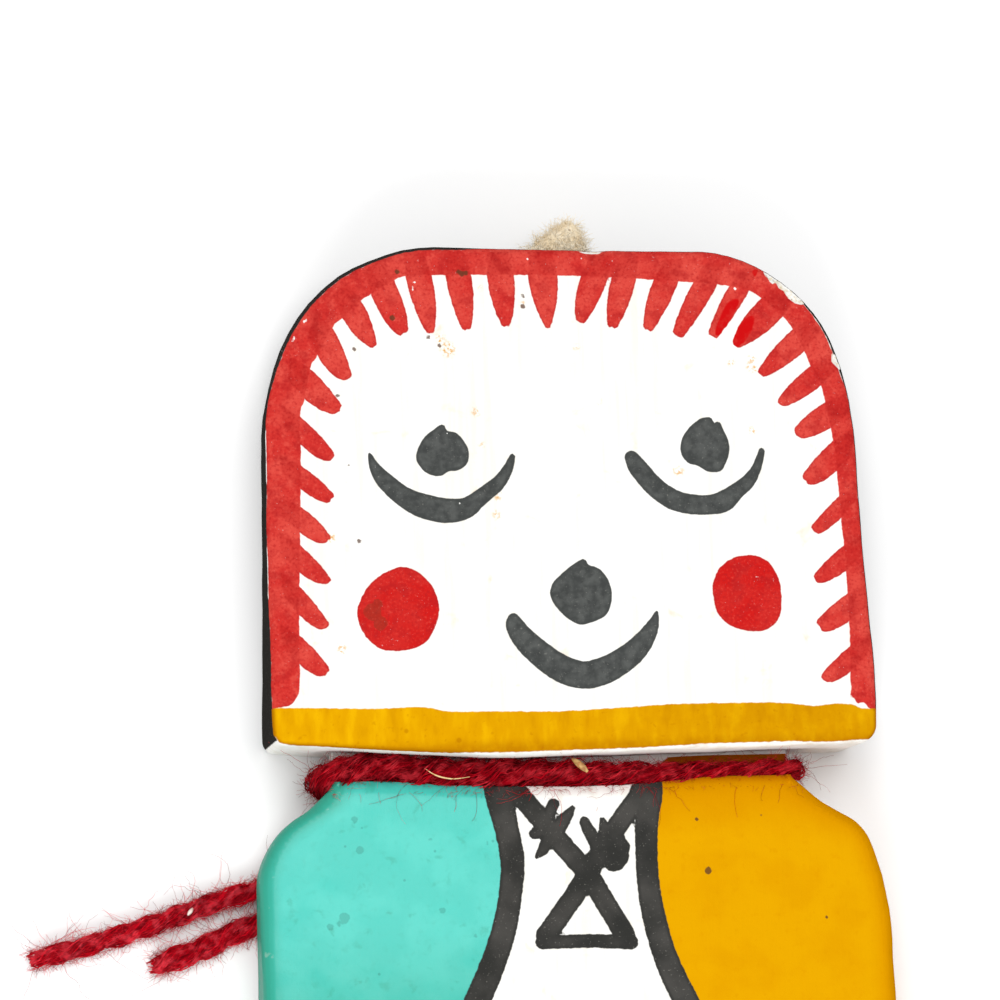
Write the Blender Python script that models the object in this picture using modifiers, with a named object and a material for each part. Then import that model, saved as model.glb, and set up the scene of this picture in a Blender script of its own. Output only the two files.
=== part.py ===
"""Flat cradle doll carved from a board of cottonwood root, tied round the neck with wool yarn.

The doll lies on its back: +Z is its front, +Y points to the top of its head, and the origin is in the
middle of the flat back that it lies on. Sizes are millimetres, turned into metres by MM.
"""
import math

import bmesh
import bpy
from mathutils import Matrix, Vector

MM = 0.001

# Carved board, seen from the front: x, y and the radius that rounds the corner
HEAD_OUTLINE = [
    (-34.9, 28.0, 1.6),
    (-8.0, 26.3, 80.0),
    (35.0, 27.0, 2.2),
    (32.8, 84.7, 18.0),
    (-34.9, 85.1, 20.0),
]
BODY_OUTLINE = [
    (-27.6, 32.0, 0.0),
    (-27.6, 22.4, 2.0),
    (-36.8, 17.3, 9.0),
    (-36.8, -35.0, 60.0),
    (-35.4, -90.0, 9.0),
    (35.4, -90.0, 9.0),
    (36.8, -35.0, 60.0),
    (36.8, 5.0, 30.0),
    (34.2, 17.4, 3.5),
    (24.0, 23.2, 2.0),
    (24.0, 32.0, 0.0),
]
HEAD_THICKNESS = 15.0
HEAD_EDGE_ROUNDING = 0.9
BODY_THICKNESS = 12.0
BODY_EDGE_ROUNDING = 1.5
EDGE_SEGMENTS = 3
ARC_STEP_DEGREES = 9.0
SHORTEST_ARC_STEPS = 2
FLAT_ANGLE_DEGREES = 0.2

# Groove across the front of the neck, where the yarn lies, in a side view: y, z and corner radius
NECK_FRONT_HEIGHT = 8.2
BODY_TOP_EDGE_Y = 22.5
NECK_GROOVE = [
    (BODY_TOP_EDGE_Y, NECK_FRONT_HEIGHT, 0.6),
    (40.0, NECK_FRONT_HEIGHT, 0.0),
    (40.0, 20.0, 0.0),
    (BODY_TOP_EDGE_Y - 0.7, 20.0, 0.0),
]

# Hollow across the back of the neck and shoulders, which leaves room for the knot and the yarn's ends
NECK_BACK_HEIGHT = 3.8
BACK_HOLLOW = [
    (40.0, NECK_BACK_HEIGHT, 0.0),
    (7.0, NECK_BACK_HEIGHT - 0.2, 20.0),
    (-13.0, -0.4, 0.0),
    (-13.0, -6.0, 0.0),
    (40.0, -6.0, 0.0),
]
CUTTER_WIDTH = 100.0

# Wool yarn tied round the neck
YARN_DIAMETER = 2.8
RING_BACK_HEIGHT = 1.75
RING_FRONT_HEIGHT = 9.9
NECK_RING = [
    (-22.4, 25.0, RING_FRONT_HEIGHT),
    (-14.2, 24.6, RING_FRONT_HEIGHT),
    (-4.0, 24.4, RING_FRONT_HEIGHT),
    (8.0, 24.4, RING_FRONT_HEIGHT),
    (18.0, 24.6, RING_FRONT_HEIGHT),
    (23.2, 24.8, RING_FRONT_HEIGHT),
    (25.4, 24.9, 9.2),
    (26.0, 24.9, 6.8),
    (26.0, 24.9, 3.9),
    (24.9, 24.9, 2.2),
    (22.0, 24.8, RING_BACK_HEIGHT),
    (10.0, 24.6, RING_BACK_HEIGHT),
    (-6.0, 24.5, RING_BACK_HEIGHT),
    (-20.0, 24.4, RING_BACK_HEIGHT),
    (-26.0, 24.2, RING_BACK_HEIGHT),
    (-28.8, 24.1, 2.3),
    (-29.6, 24.1, 4.6),
    (-29.6, 24.2, 7.2),
    (-28.8, 24.4, 9.3),
    (-26.2, 24.8, RING_FRONT_HEIGHT),
]
RING_POINTS_PER_SPAN = 3
KNOT_CENTRE = (4.3, 22.2, 1.8)
KNOT_RADII = (3.2, 3.3, 1.65)

# Free ends of the yarn, from the knot out past the left side of the body
LONG_TAIL_DIAMETER = 2.5
LONG_TAIL = [
    (0.8, 21.2, 1.4),
    (-16.0, 16.9, 1.35),
    (-36.3, 11.9, 1.35),
    (-45.3, 9.4, 1.35),
    (-53.6, 7.0, 1.35),
    (-62.4, 5.1, 1.35),
]
SHORT_TAIL_DIAMETER = 2.9
SHORT_TAIL = [
    (1.9, 18.3, 1.6),
    (-16.0, 13.5, 1.55),
    (-36.4, 8.1, 1.55),
    (-43.0, 5.5, 1.55),
    (-48.5, 3.7, 1.55),
]
TAIL_POINT_SPACING_IN_DIAMETERS = 2.4

# Stub of cotton in the head's top edge: distance from its axis, and height
TUFT_FOOT = (0.5, 85.3, 8.6)
TUFT_DEPTH_SCALE = 0.85
TUFT_PROFILE = [
    (0.0, 0.0),
    (3.7, 0.0),
    (4.1, 0.8),
    (3.9, 1.9),
    (3.0, 3.3),
    (1.7, 4.3),
    (0.0, 4.7),
]
TUFT_STEPS = 20

# Base colour, roughness and metallic value of each material
PAINTED_WOOD = ((0.93, 0.92, 0.88, 1.0), 0.55, 0.0)
RED_WOOL = ((0.42, 0.01, 0.03, 1.0), 0.95, 0.0)
CREAM_COTTON = ((0.80, 0.70, 0.52, 1.0), 0.95, 0.0)


def clear_scene() -> None:
    """Remove every object that the scene holds."""
    for item in list(bpy.data.objects):
        bpy.data.objects.remove(item, do_unlink=True)


def make_collection(name: str) -> bpy.types.Collection:
    """Make a collection under the scene's own."""
    collection = bpy.data.collections.new(name)
    bpy.context.scene.collection.children.link(collection)
    return collection


def make_material(name: str, look: tuple) -> bpy.types.Material:
    """Make a material from a base colour, a roughness and a metallic value."""
    colour, roughness, metallic = look
    material = bpy.data.materials.new(name)
    material.use_nodes = True
    shader = material.node_tree.nodes["Principled BSDF"]
    shader.inputs["Base Color"].default_value = colour
    shader.inputs["Roughness"].default_value = roughness
    shader.inputs["Metallic"].default_value = metallic
    material.diffuse_color = colour
    return material


def rounded_outline(corners: list) -> list:
    """Turn corners, each with the radius that rounds it, into the points of a closed outline."""
    points = []
    for index, (x, y, radius) in enumerate(corners):
        corner = Vector((x, y))
        before = Vector(corners[index - 1][:2])
        after = Vector(corners[(index + 1) % len(corners)][:2])
        if radius == 0.0:
            points.append(corner)
            continue
        towards_before = (before - corner).normalized()
        towards_after = (after - corner).normalized()
        half_angle = towards_before.angle(towards_after) / 2
        tangent_length = radius / math.tan(half_angle)
        centre_line = (towards_before + towards_after).normalized()
        centre = corner + centre_line * (radius / math.sin(half_angle))
        start = corner + towards_before * tangent_length - centre
        end = corner + towards_after * tangent_length - centre
        turn = -start.angle_signed(end)
        steps = max(SHORTEST_ARC_STEPS, round(abs(math.degrees(turn)) / ARC_STEP_DEGREES))
        for step in range(steps + 1):
            points.append(centre + Matrix.Rotation(turn * step / steps, 2) @ start)
    return points


def smooth_route(knots: list, closed: bool, points_per_span: int) -> list:
    """Read points from a smooth curve that goes through every knot of a yarn's route."""
    places = [Vector(knot) for knot in knots]
    count = len(places)
    points = []
    for index in range(count if closed else count - 1):
        if closed:
            a, b, c, d = (places[(index + offset) % count] for offset in (-1, 0, 1, 2))
        else:
            a = places[max(index - 1, 0)]
            b = places[index]
            c = places[index + 1]
            d = places[min(index + 2, count - 1)]
        for step in range(points_per_span):
            t = step / points_per_span
            bend = (2 * a - 5 * b + 4 * c - d) * t * t + (3 * b - a - 3 * c + d) * t * t * t
            points.append((2 * b + (c - a) * t + bend) / 2)
    if not closed:
        points.append(places[-1])
    return points


def spaced_route(knots: list, spacing: float) -> list:
    """Space points evenly along the smooth curve through the knots."""
    fine = smooth_route(knots, False, 40)
    length = sum((b - a).length for a, b in zip(fine, fine[1:]))
    spans = round(length / spacing)
    points = [fine[0]]
    travelled = 0.0
    for a, b in zip(fine, fine[1:]):
        travelled += (b - a).length
        if travelled >= length * len(points) / spans and len(points) < spans:
            points.append(b)
    points.append(fine[-1])
    return points


def as_mesh_object(source: bpy.types.Object) -> bpy.types.Object:
    """Replace a curve object by a mesh object of the same form, with each cap one welded face."""
    name = source.name
    collection = source.users_collection[0]
    graph = bpy.context.evaluated_depsgraph_get()
    mesh = bpy.data.meshes.new_from_object(source.evaluated_get(graph))
    shape = bmesh.new()
    shape.from_mesh(mesh)
    bmesh.ops.remove_doubles(shape, verts=shape.verts, dist=0.01 * MM)
    flat = math.radians(FLAT_ANGLE_DEGREES)
    bmesh.ops.dissolve_limit(shape, angle_limit=flat, verts=shape.verts, edges=shape.edges)
    bmesh.ops.recalc_face_normals(shape, faces=shape.faces)
    shape.to_mesh(mesh)
    shape.free()
    matrix = source.matrix_world.copy()
    bpy.data.objects.remove(source, do_unlink=True)
    mesh_object = bpy.data.objects.new(name, mesh)
    mesh_object.matrix_world = matrix
    collection.objects.link(mesh_object)
    return mesh_object


def make_plate(name: str, corners: list, thickness: float, collection) -> bpy.types.Object:
    """Make a flat plate of an outline, centred on its own plane."""
    curve = bpy.data.curves.new(name, "CURVE")
    curve.dimensions = "2D"
    curve.fill_mode = "BOTH"
    curve.extrude = thickness / 2 * MM
    outline = rounded_outline(corners)
    spline = curve.splines.new("POLY")
    spline.points.add(len(outline) - 1)
    for point, place in zip(spline.points, outline):
        point.co = (place.x * MM, place.y * MM, 0.0, 1.0)
    spline.use_cyclic_u = True
    plate = bpy.data.objects.new(name, curve)
    collection.objects.link(plate)
    bpy.context.view_layer.update()
    return plate


def make_board(name: str, corners: list, thickness: float, rounding: float, collection) -> bpy.types.Object:
    """Make a board that lies on the ground plane, with its edges rounded."""
    board = make_plate(name, corners, thickness, collection)
    board.location.z = thickness / 2 * MM
    bpy.context.view_layer.update()
    board = as_mesh_object(board)
    bevel = board.modifiers.new("rounded edges", "BEVEL")
    bevel.width = rounding * MM
    bevel.segments = EDGE_SEGMENTS
    bevel.use_clamp_overlap = False
    bevel.limit_method = "ANGLE"
    bevel.angle_limit = math.radians(60)
    return board


def make_cross_cutter(name: str, corners: list, collection) -> bpy.types.Object:
    """Make a cutter that runs right across the doll, from its outline in a side view."""
    cutter = make_plate(name, corners, CUTTER_WIDTH, collection)
    cutter.rotation_euler = (math.radians(90), 0.0, math.radians(90))
    bpy.context.view_layer.update()
    cutter = as_mesh_object(cutter)
    hide_cutter(cutter)
    return cutter


def hide_cutter(cutter: bpy.types.Object) -> None:
    """Show a cutter as wires and keep it out of the render."""
    cutter.hide_render = True
    cutter.display_type = "WIRE"


def add_boolean(target: bpy.types.Object, cutter: bpy.types.Object, operation: str) -> None:
    """Add an exact Boolean modifier to the target."""
    modifier = target.modifiers.new(cutter.name, "BOOLEAN")
    modifier.object = cutter
    modifier.operation = operation
    modifier.solver = "EXACT"


def make_doll(parts, cutters) -> bpy.types.Object:
    """Carve head, neck and body as one board."""
    body = make_board("body_blank", BODY_OUTLINE, BODY_THICKNESS, BODY_EDGE_ROUNDING, cutters)
    add_boolean(body, make_cross_cutter("neck_groove", NECK_GROOVE, cutters), "DIFFERENCE")
    add_boolean(body, make_cross_cutter("back_hollow", BACK_HOLLOW, cutters), "DIFFERENCE")
    hide_cutter(body)
    doll = make_board("carved_doll", HEAD_OUTLINE, HEAD_THICKNESS, HEAD_EDGE_ROUNDING, parts)
    add_boolean(doll, body, "UNION")
    doll.data.materials.append(make_material("painted_wood", PAINTED_WOOD))
    return doll


def make_strand(name: str, route: list, diameter: float, closed: bool, collection) -> bpy.types.Object:
    """Make a round strand along a route."""
    curve = bpy.data.curves.new(name, "CURVE")
    curve.dimensions = "3D"
    curve.bevel_depth = diameter / 2 * MM
    curve.bevel_resolution = 2
    curve.use_fill_caps = not closed
    spline = curve.splines.new("POLY")
    spline.points.add(len(route) - 1)
    for point, place in zip(spline.points, route):
        point.co = (place.x * MM, place.y * MM, place.z * MM, 1.0)
    spline.use_cyclic_u = closed
    strand = bpy.data.objects.new(name, curve)
    collection.objects.link(strand)
    bpy.context.view_layer.update()
    return strand


def make_neck_yarn(parts, cutters, wool: bpy.types.Material) -> bpy.types.Object:
    """Tie the yarn round the neck: a closed ring with a knot at the back."""
    route = smooth_route(NECK_RING, True, RING_POINTS_PER_SPAN)
    ring = as_mesh_object(make_strand("neck_yarn", route, YARN_DIAMETER, True, parts))
    knot = bpy.data.objects.new("knot", bpy.data.meshes.new("knot"))
    shape = bmesh.new()
    bmesh.ops.create_uvsphere(shape, u_segments=16, v_segments=10, radius=MM)
    shape.to_mesh(knot.data)
    shape.free()
    knot.scale = KNOT_RADII
    knot.location = Vector(KNOT_CENTRE) * MM
    cutters.objects.link(knot)
    hide_cutter(knot)
    add_boolean(ring, knot, "UNION")
    ring.data.materials.append(wool)
    return ring


def make_tail(name: str, knots: list, diameter: float, parts, wool) -> bpy.types.Object:
    """Lay one free end of the yarn."""
    route = spaced_route(knots, diameter * TAIL_POINT_SPACING_IN_DIAMETERS)
    tail = make_strand(name, route, diameter, False, parts)
    tail.data.materials.append(wool)
    return tail


def make_tuft(parts) -> bpy.types.Object:
    """Turn the stub of cotton and stand it on the head's top edge."""
    mesh = bpy.data.meshes.new("cotton_tuft")
    vertices = [(radius * MM, 0.0, height * MM) for radius, height in TUFT_PROFILE]
    edges = [(index, index + 1) for index in range(len(vertices) - 1)]
    mesh.from_pydata(vertices, edges, [])
    tuft = bpy.data.objects.new("cotton_tuft", mesh)
    turned = tuft.modifiers.new("turned form", "SCREW")
    turned.axis = "Z"
    turned.steps = TUFT_STEPS
    turned.render_steps = TUFT_STEPS
    turned.use_merge_vertices = True
    turned.merge_threshold = 0.01 * MM
    turned.use_normal_calculate = True
    tuft.rotation_euler = (math.radians(-90), 0.0, 0.0)
    tuft.scale = (1.0, TUFT_DEPTH_SCALE, 1.0)
    tuft.location = Vector(TUFT_FOOT) * MM
    parts.objects.link(tuft)
    mesh.materials.append(make_material("cream_cotton", CREAM_COTTON))
    return tuft


def main() -> None:
    """Build every piece of the doll."""
    clear_scene()
    parts = make_collection("kachina_doll")
    cutters = make_collection("cutters")
    make_doll(parts, cutters)
    wool = make_material("red_wool", RED_WOOL)
    make_neck_yarn(parts, cutters, wool)
    make_tail("yarn_tail_long", LONG_TAIL, LONG_TAIL_DIAMETER, parts, wool)
    make_tail("yarn_tail_short", SHORT_TAIL, SHORT_TAIL_DIAMETER, parts, wool)
    make_tuft(parts)


main()
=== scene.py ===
import logging
import math
from collections.abc import Callable, Iterable, Sequence
from dataclasses import dataclass, replace
from enum import Enum

import bmesh
import bpy
import numpy as np
from mathutils import Matrix, Vector


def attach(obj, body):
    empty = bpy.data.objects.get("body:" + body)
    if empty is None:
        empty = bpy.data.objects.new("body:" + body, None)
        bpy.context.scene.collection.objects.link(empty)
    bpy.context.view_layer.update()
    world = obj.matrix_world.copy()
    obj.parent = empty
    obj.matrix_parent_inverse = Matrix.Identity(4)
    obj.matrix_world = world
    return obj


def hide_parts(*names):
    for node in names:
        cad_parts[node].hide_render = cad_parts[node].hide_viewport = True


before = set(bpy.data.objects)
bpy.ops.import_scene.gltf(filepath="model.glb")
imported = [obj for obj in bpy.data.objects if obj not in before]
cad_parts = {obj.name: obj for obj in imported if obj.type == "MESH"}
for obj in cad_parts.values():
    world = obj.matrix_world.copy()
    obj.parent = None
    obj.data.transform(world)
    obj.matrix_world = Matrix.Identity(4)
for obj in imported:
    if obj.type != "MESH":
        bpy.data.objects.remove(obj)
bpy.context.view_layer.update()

LOG = logging.getLogger("cradle_doll")
BODY = "root"

# One millimetre in metres. Sizes and places are millimetres wherever nothing else is said.
MM = 0.001

# Distance outside a painted shape past which its depth isn't measured
REACH = 3.0

# Radius of the disc that a flat outline is shaped from
DISC = 50.0

# Degrees that each step of a rounded corner turns
ARC_STEP = 6.0

Array = np.ndarray
Piece = bpy.types.Object
Material = bpy.types.Material
Socket = bpy.types.NodeSocket
Colour = tuple[float, float, float]
Place = tuple[float, float, float]
Knots = Sequence[tuple[float, ...]]
Number = Socket | float
Paint = Socket | Colour
Source = Socket | float | Colour


class Slot(Enum):
    """Material slots of the record."""

    PAINTED_WOOD = "painted_wood"
    RED_WOOL = "red_wool"
    CREAM_COTTON = "cream_cotton"


class Layer(Enum):
    """Paint and wear layers: each is a depth in millimetres, kept on the doll's points."""

    RED_BAND = "red_band"
    RED_STROKES = "red_strokes"
    WET_RED = "wet_red"
    CHEEKS = "cheeks"
    FACE_BLACK = "face_black"
    BODY_BLACK = "body_black"
    EDGE_BLACK = "edge_black"
    CHIN_YELLOW = "chin_yellow"
    BODY_YELLOW = "body_yellow"
    BODY_BLUE = "body_blue"
    # Red tint round the neck: partly dye off the wool, partly painted red light thrown by the yarn
    NECK_STAIN = "neck_stain_and_red_light"
    CHIPS = "chips"
    TAN_STAINS = "tan_stains"
    DARK_SPECKS = "dark_specks"
    BARE_DOTS = "bare_dots"
    PAST_EDGE = "past_edge"


# Shapes in the plane


def smooth_points(knots: Knots, closed: bool, steps: int) -> Array:
    """Read points from a smooth curve that goes through every knot.

    Args:
        knots: Places on the curve, with any further numbers that change along it.
        closed: Whether the curve returns to its first knot.
        steps: Points in each span between two knots.

    Returns:
        The points, one in each row.
    """
    places = np.array(knots, dtype=float)
    count = len(places)
    spans = count if closed else count - 1
    index = np.arange(spans)
    if closed:
        a, b, c, d = (places[(index + offset) % count] for offset in (-1, 0, 1, 2))
    else:
        a = places[np.maximum(index - 1, 0)]
        b = places[index]
        c = places[index + 1]
        d = places[np.minimum(index + 2, count - 1)]
    rows = []
    for step in range(steps):
        t = step / steps
        bend = (2 * a - 5 * b + 4 * c - d) * t * t + (3 * b - a - 3 * c + d) * t * t * t
        rows.append((2 * b + (c - a) * t + bend) / 2)
    points = np.stack(rows, axis=1).reshape(-1, places.shape[1])
    return points if closed else np.vstack([points, places[-1]])


def even_points(knots: Knots, closed: bool, spacing: float) -> Array:
    """Space points evenly along the smooth curve through the knots.

    Args:
        knots: Places on the curve in space.
        closed: Whether the curve returns to its first knot.
        spacing: Distance between two points.

    Returns:
        The points, one in each row. A closed curve doesn't repeat its first one.
    """
    fine = smooth_points(knots, closed, 40)
    if closed:
        fine = np.vstack([fine, fine[0]])
    travelled = np.concatenate([[0.0], np.cumsum(np.linalg.norm(np.diff(fine, axis=0), axis=1))])
    count = max(2, round(travelled[-1] / spacing))
    stops = np.linspace(0.0, travelled[-1], count + 1)
    if closed:
        stops = stops[:-1]
    return np.stack([np.interp(stops, travelled, fine[:, axis]) for axis in range(fine.shape[1])], axis=1)


def way_to_stretch(x: Array, y: Array, start: Array, end: Array) -> tuple[Array, Array]:
    """Measure the way from places to the straight stretch between two points.

    Args:
        x: The places across the doll.
        y: The places along the doll.
        start: First point of the stretch.
        end: Its last point.

    Returns:
        Each place's distance, and how far along the stretch its nearest point is, from 0 to 1.
    """
    across, up = (end - start)[:2]
    share = ((x - start[0]) * across + (y - start[1]) * up) / max(across**2 + up**2, 1e-12)
    share = np.clip(share, 0.0, 1.0)
    return np.hypot(x - start[0] - share * across, y - start[1] - share * up), share


def depth_in_loop(loop: Array, places: Array) -> Array:
    """Measure how deep each place lies inside a closed outline.

    Args:
        loop: Points of the outline.
        places: Places to measure, as x and y.

    Returns:
        The depth of each place, negative outside the outline.
    """
    depths = np.full(len(places), -REACH)
    near = np.all((places > loop.min(axis=0) - REACH) & (places < loop.max(axis=0) + REACH), axis=1)
    x, y = places[near].T
    nearest = np.full(len(x), np.inf)
    inside = np.zeros(len(x), dtype=bool)
    for start, end in zip(loop, np.roll(loop, -1, axis=0)):
        nearest = np.minimum(nearest, way_to_stretch(x, y, start, end)[0])
        across, up = end - start
        if up != 0.0:
            spans = (start[1] > y) != (end[1] > y)
            inside ^= spans & (x < start[0] + (y - start[1]) * across / up)
    depths[near] = np.where(inside, nearest, -nearest)
    return depths


def depth_in_stroke(line: Array, places: Array) -> Array:
    """Measure how deep each place lies inside a brush stroke.

    Args:
        line: Points of the stroke's middle line: x, y and half its width there.
        places: Places to measure, as x and y.

    Returns:
        The depth of each place, negative outside the stroke.
    """
    depths = np.full(len(places), -REACH)
    margin = REACH + line[:, 2].max()
    low = line[:, :2].min(axis=0) - margin
    high = line[:, :2].max(axis=0) + margin
    near = np.all((places > low) & (places < high), axis=1)
    x, y = places[near].T
    deepest = np.full(len(x), -REACH)
    for start, end in zip(line, line[1:]):
        gap, share = way_to_stretch(x, y, start, end)
        deepest = np.maximum(deepest, start[2] + share * (end[2] - start[2]) - gap)
    depths[near] = deepest
    return depths


def in_loops(loops: Iterable[Knots], places: Array, steps: int = 5) -> Array:
    """Measure how deep each place lies inside the nearest of some smooth outlines, given by knots."""
    return np.max([depth_in_loop(smooth_points(loop, True, steps), places) for loop in loops], axis=0)


def in_strokes(strokes: Iterable[Knots], places: Array, steps: int = 6) -> Array:
    """Measure how deep each place lies inside the nearest stroke: knots of x, y and half the width."""
    return np.max([depth_in_stroke(smooth_points(line, False, steps), places) for line in strokes], axis=0)


def in_spots(spots: Knots, places: Array) -> Array:
    """Measure how deep each place lies inside the nearest round spot: x, y and radius."""
    x, y = places.T
    return np.max([radius - np.hypot(x - across, y - up) for across, up, radius in spots], axis=0)


def ease(values: Array, low: float, high: float) -> Array:
    """Turn values into a share from 0 at low to 1 at high, with soft ends."""
    share = np.clip((values - low) / (high - low), 0.0, 1.0)
    return share * share * (3.0 - 2.0 * share)


# Modelling by hand


def deselect_all() -> None:
    """Leave edit mode and deselect every object."""
    if bpy.context.object and bpy.context.object.mode != "OBJECT":
        bpy.ops.object.mode_set(mode="OBJECT")
    bpy.ops.object.select_all(action="DESELECT")


def take_up(piece: Piece) -> None:
    """Make a piece the only selected and the active one.

    Args:
        piece: Object to work on.
    """
    deselect_all()
    piece.select_set(True)
    bpy.context.view_layer.objects.active = piece


def edit(piece: Piece) -> None:
    """Open a piece in edit mode."""
    take_up(piece)
    bpy.ops.object.mode_set(mode="EDIT")


def pick_corner(piece: Piece, place: Vector) -> None:
    """Select only the point of an edited piece that is nearest to a place.

    Args:
        piece: Object in edit mode.
        place: Where the point is, in metres.
    """
    bpy.ops.mesh.select_mode(type="VERT")
    bpy.ops.mesh.select_all(action="DESELECT")
    shape = bmesh.from_edit_mesh(piece.data)
    nearest = min(shape.verts, key=lambda point: (point.co - place).length)
    nearest.select = True
    bmesh.update_edit_mesh(piece.data)


def pick_edges(piece: Piece, wanted: Callable[[Vector, Vector], bool]) -> None:
    """Select the edges of an edited piece whose two ends pass a test.

    Args:
        piece: Object in edit mode.
        wanted: Test of an edge's two ends, in metres.
    """
    bpy.ops.mesh.select_mode(type="EDGE")
    bpy.ops.mesh.select_all(action="DESELECT")
    shape = bmesh.from_edit_mesh(piece.data)
    for line in shape.edges:
        line.select = wanted(line.verts[0].co, line.verts[1].co)
    bmesh.update_edit_mesh(piece.data)


def flat_outline(name: str, corners: Sequence[Vector]) -> Piece:
    """Add a flat disc and move its points, one after another, to the corners of an outline.

    Args:
        name: Name of the piece.
        corners: The corners, in metres.

    Returns:
        The piece, in edit mode.
    """
    bpy.ops.mesh.primitive_circle_add(vertices=len(corners), radius=DISC * MM, fill_type="NGON")
    piece = bpy.context.object
    piece.name = name
    edit(piece)
    starts = [point.co.copy() for point in piece.data.vertices]
    for start, corner in zip(starts, corners):
        pick_corner(piece, start)
        bpy.ops.transform.translate(value=corner - start)
    return piece


def thicken(way: Place) -> None:
    """Thicken the edited flat outline by extruding it.

    Args:
        way: How far it is extruded, in metres.
    """
    bpy.ops.mesh.select_all(action="SELECT")
    bpy.ops.mesh.extrude_region_move(TRANSFORM_OT_translate={"value": way})
    bpy.ops.mesh.select_all(action="SELECT")
    bpy.ops.mesh.normals_make_consistent(inside=False)


def cut_away(piece: Piece, tool: Piece, operation: str) -> None:
    """Join a piece with another solid, or cut that solid out of it, and use the solid up.

    Args:
        piece: Object that is changed.
        tool: The other solid.
        operation: "UNION" or "DIFFERENCE".
    """
    take_up(piece)
    joint = piece.modifiers.new("cut", "BOOLEAN")
    joint.operation = operation
    joint.object = tool
    joint.solver = "EXACT"
    bpy.ops.object.modifier_apply(modifier=joint.name)
    bpy.data.objects.remove(tool, do_unlink=True)


def ruffle(piece: Piece, name: str, size: float, height: float, detail: int, group: str = "") -> None:
    """Make a piece's surface uneven with soft clouds.

    Args:
        piece: Object that is changed.
        name: Name of the unevenness.
        size: Size of its clouds.
        height: How far it raises and sinks the surface in all.
        detail: Levels of finer clouds.
        group: Group of the points that it moves, or all of them.
    """
    clouds = bpy.data.textures.new(name, "CLOUDS")
    clouds.noise_scale = size * MM
    clouds.noise_depth = detail
    wave = piece.modifiers.new(name, "DISPLACE")
    wave.texture = clouds
    wave.texture_coords = "LOCAL"
    wave.strength = height * MM
    wave.vertex_group = group
    take_up(piece)
    bpy.ops.object.modifier_apply(modifier=wave.name)


def finish_piece(piece: Piece, material: Material) -> None:
    """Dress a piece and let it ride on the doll.

    Args:
        piece: Object to finish.
        material: Its material.
    """
    piece.data.materials.clear()
    piece.data.materials.append(material)
    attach(piece, BODY)
    LOG.info("%s: %d faces", piece.name, len(piece.data.polygons))


# Materials


def screen(red: float, green: float, blue: float) -> Colour:
    """Turn a colour as it looks on a screen, 0 to 255, into a linear one.

    Args:
        red: Red part.
        green: Green part.
        blue: Blue part.

    Returns:
        The linear colour.
    """
    def linear(part: float) -> float:
        """Turn one part into a linear one."""
        share = part / 255.0
        return share / 12.92 if share <= 0.04045 else ((share + 0.055) / 1.055) ** 2.4

    return linear(red), linear(green), linear(blue)


@dataclass(frozen=True)
class Veil:
    """A thin colour over a paint, which grows to its strength as a pattern goes from start to end."""

    over: Colour
    pattern: Socket
    start: float
    end: float
    strength: float = 1.0
    within: Socket | None = None


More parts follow.
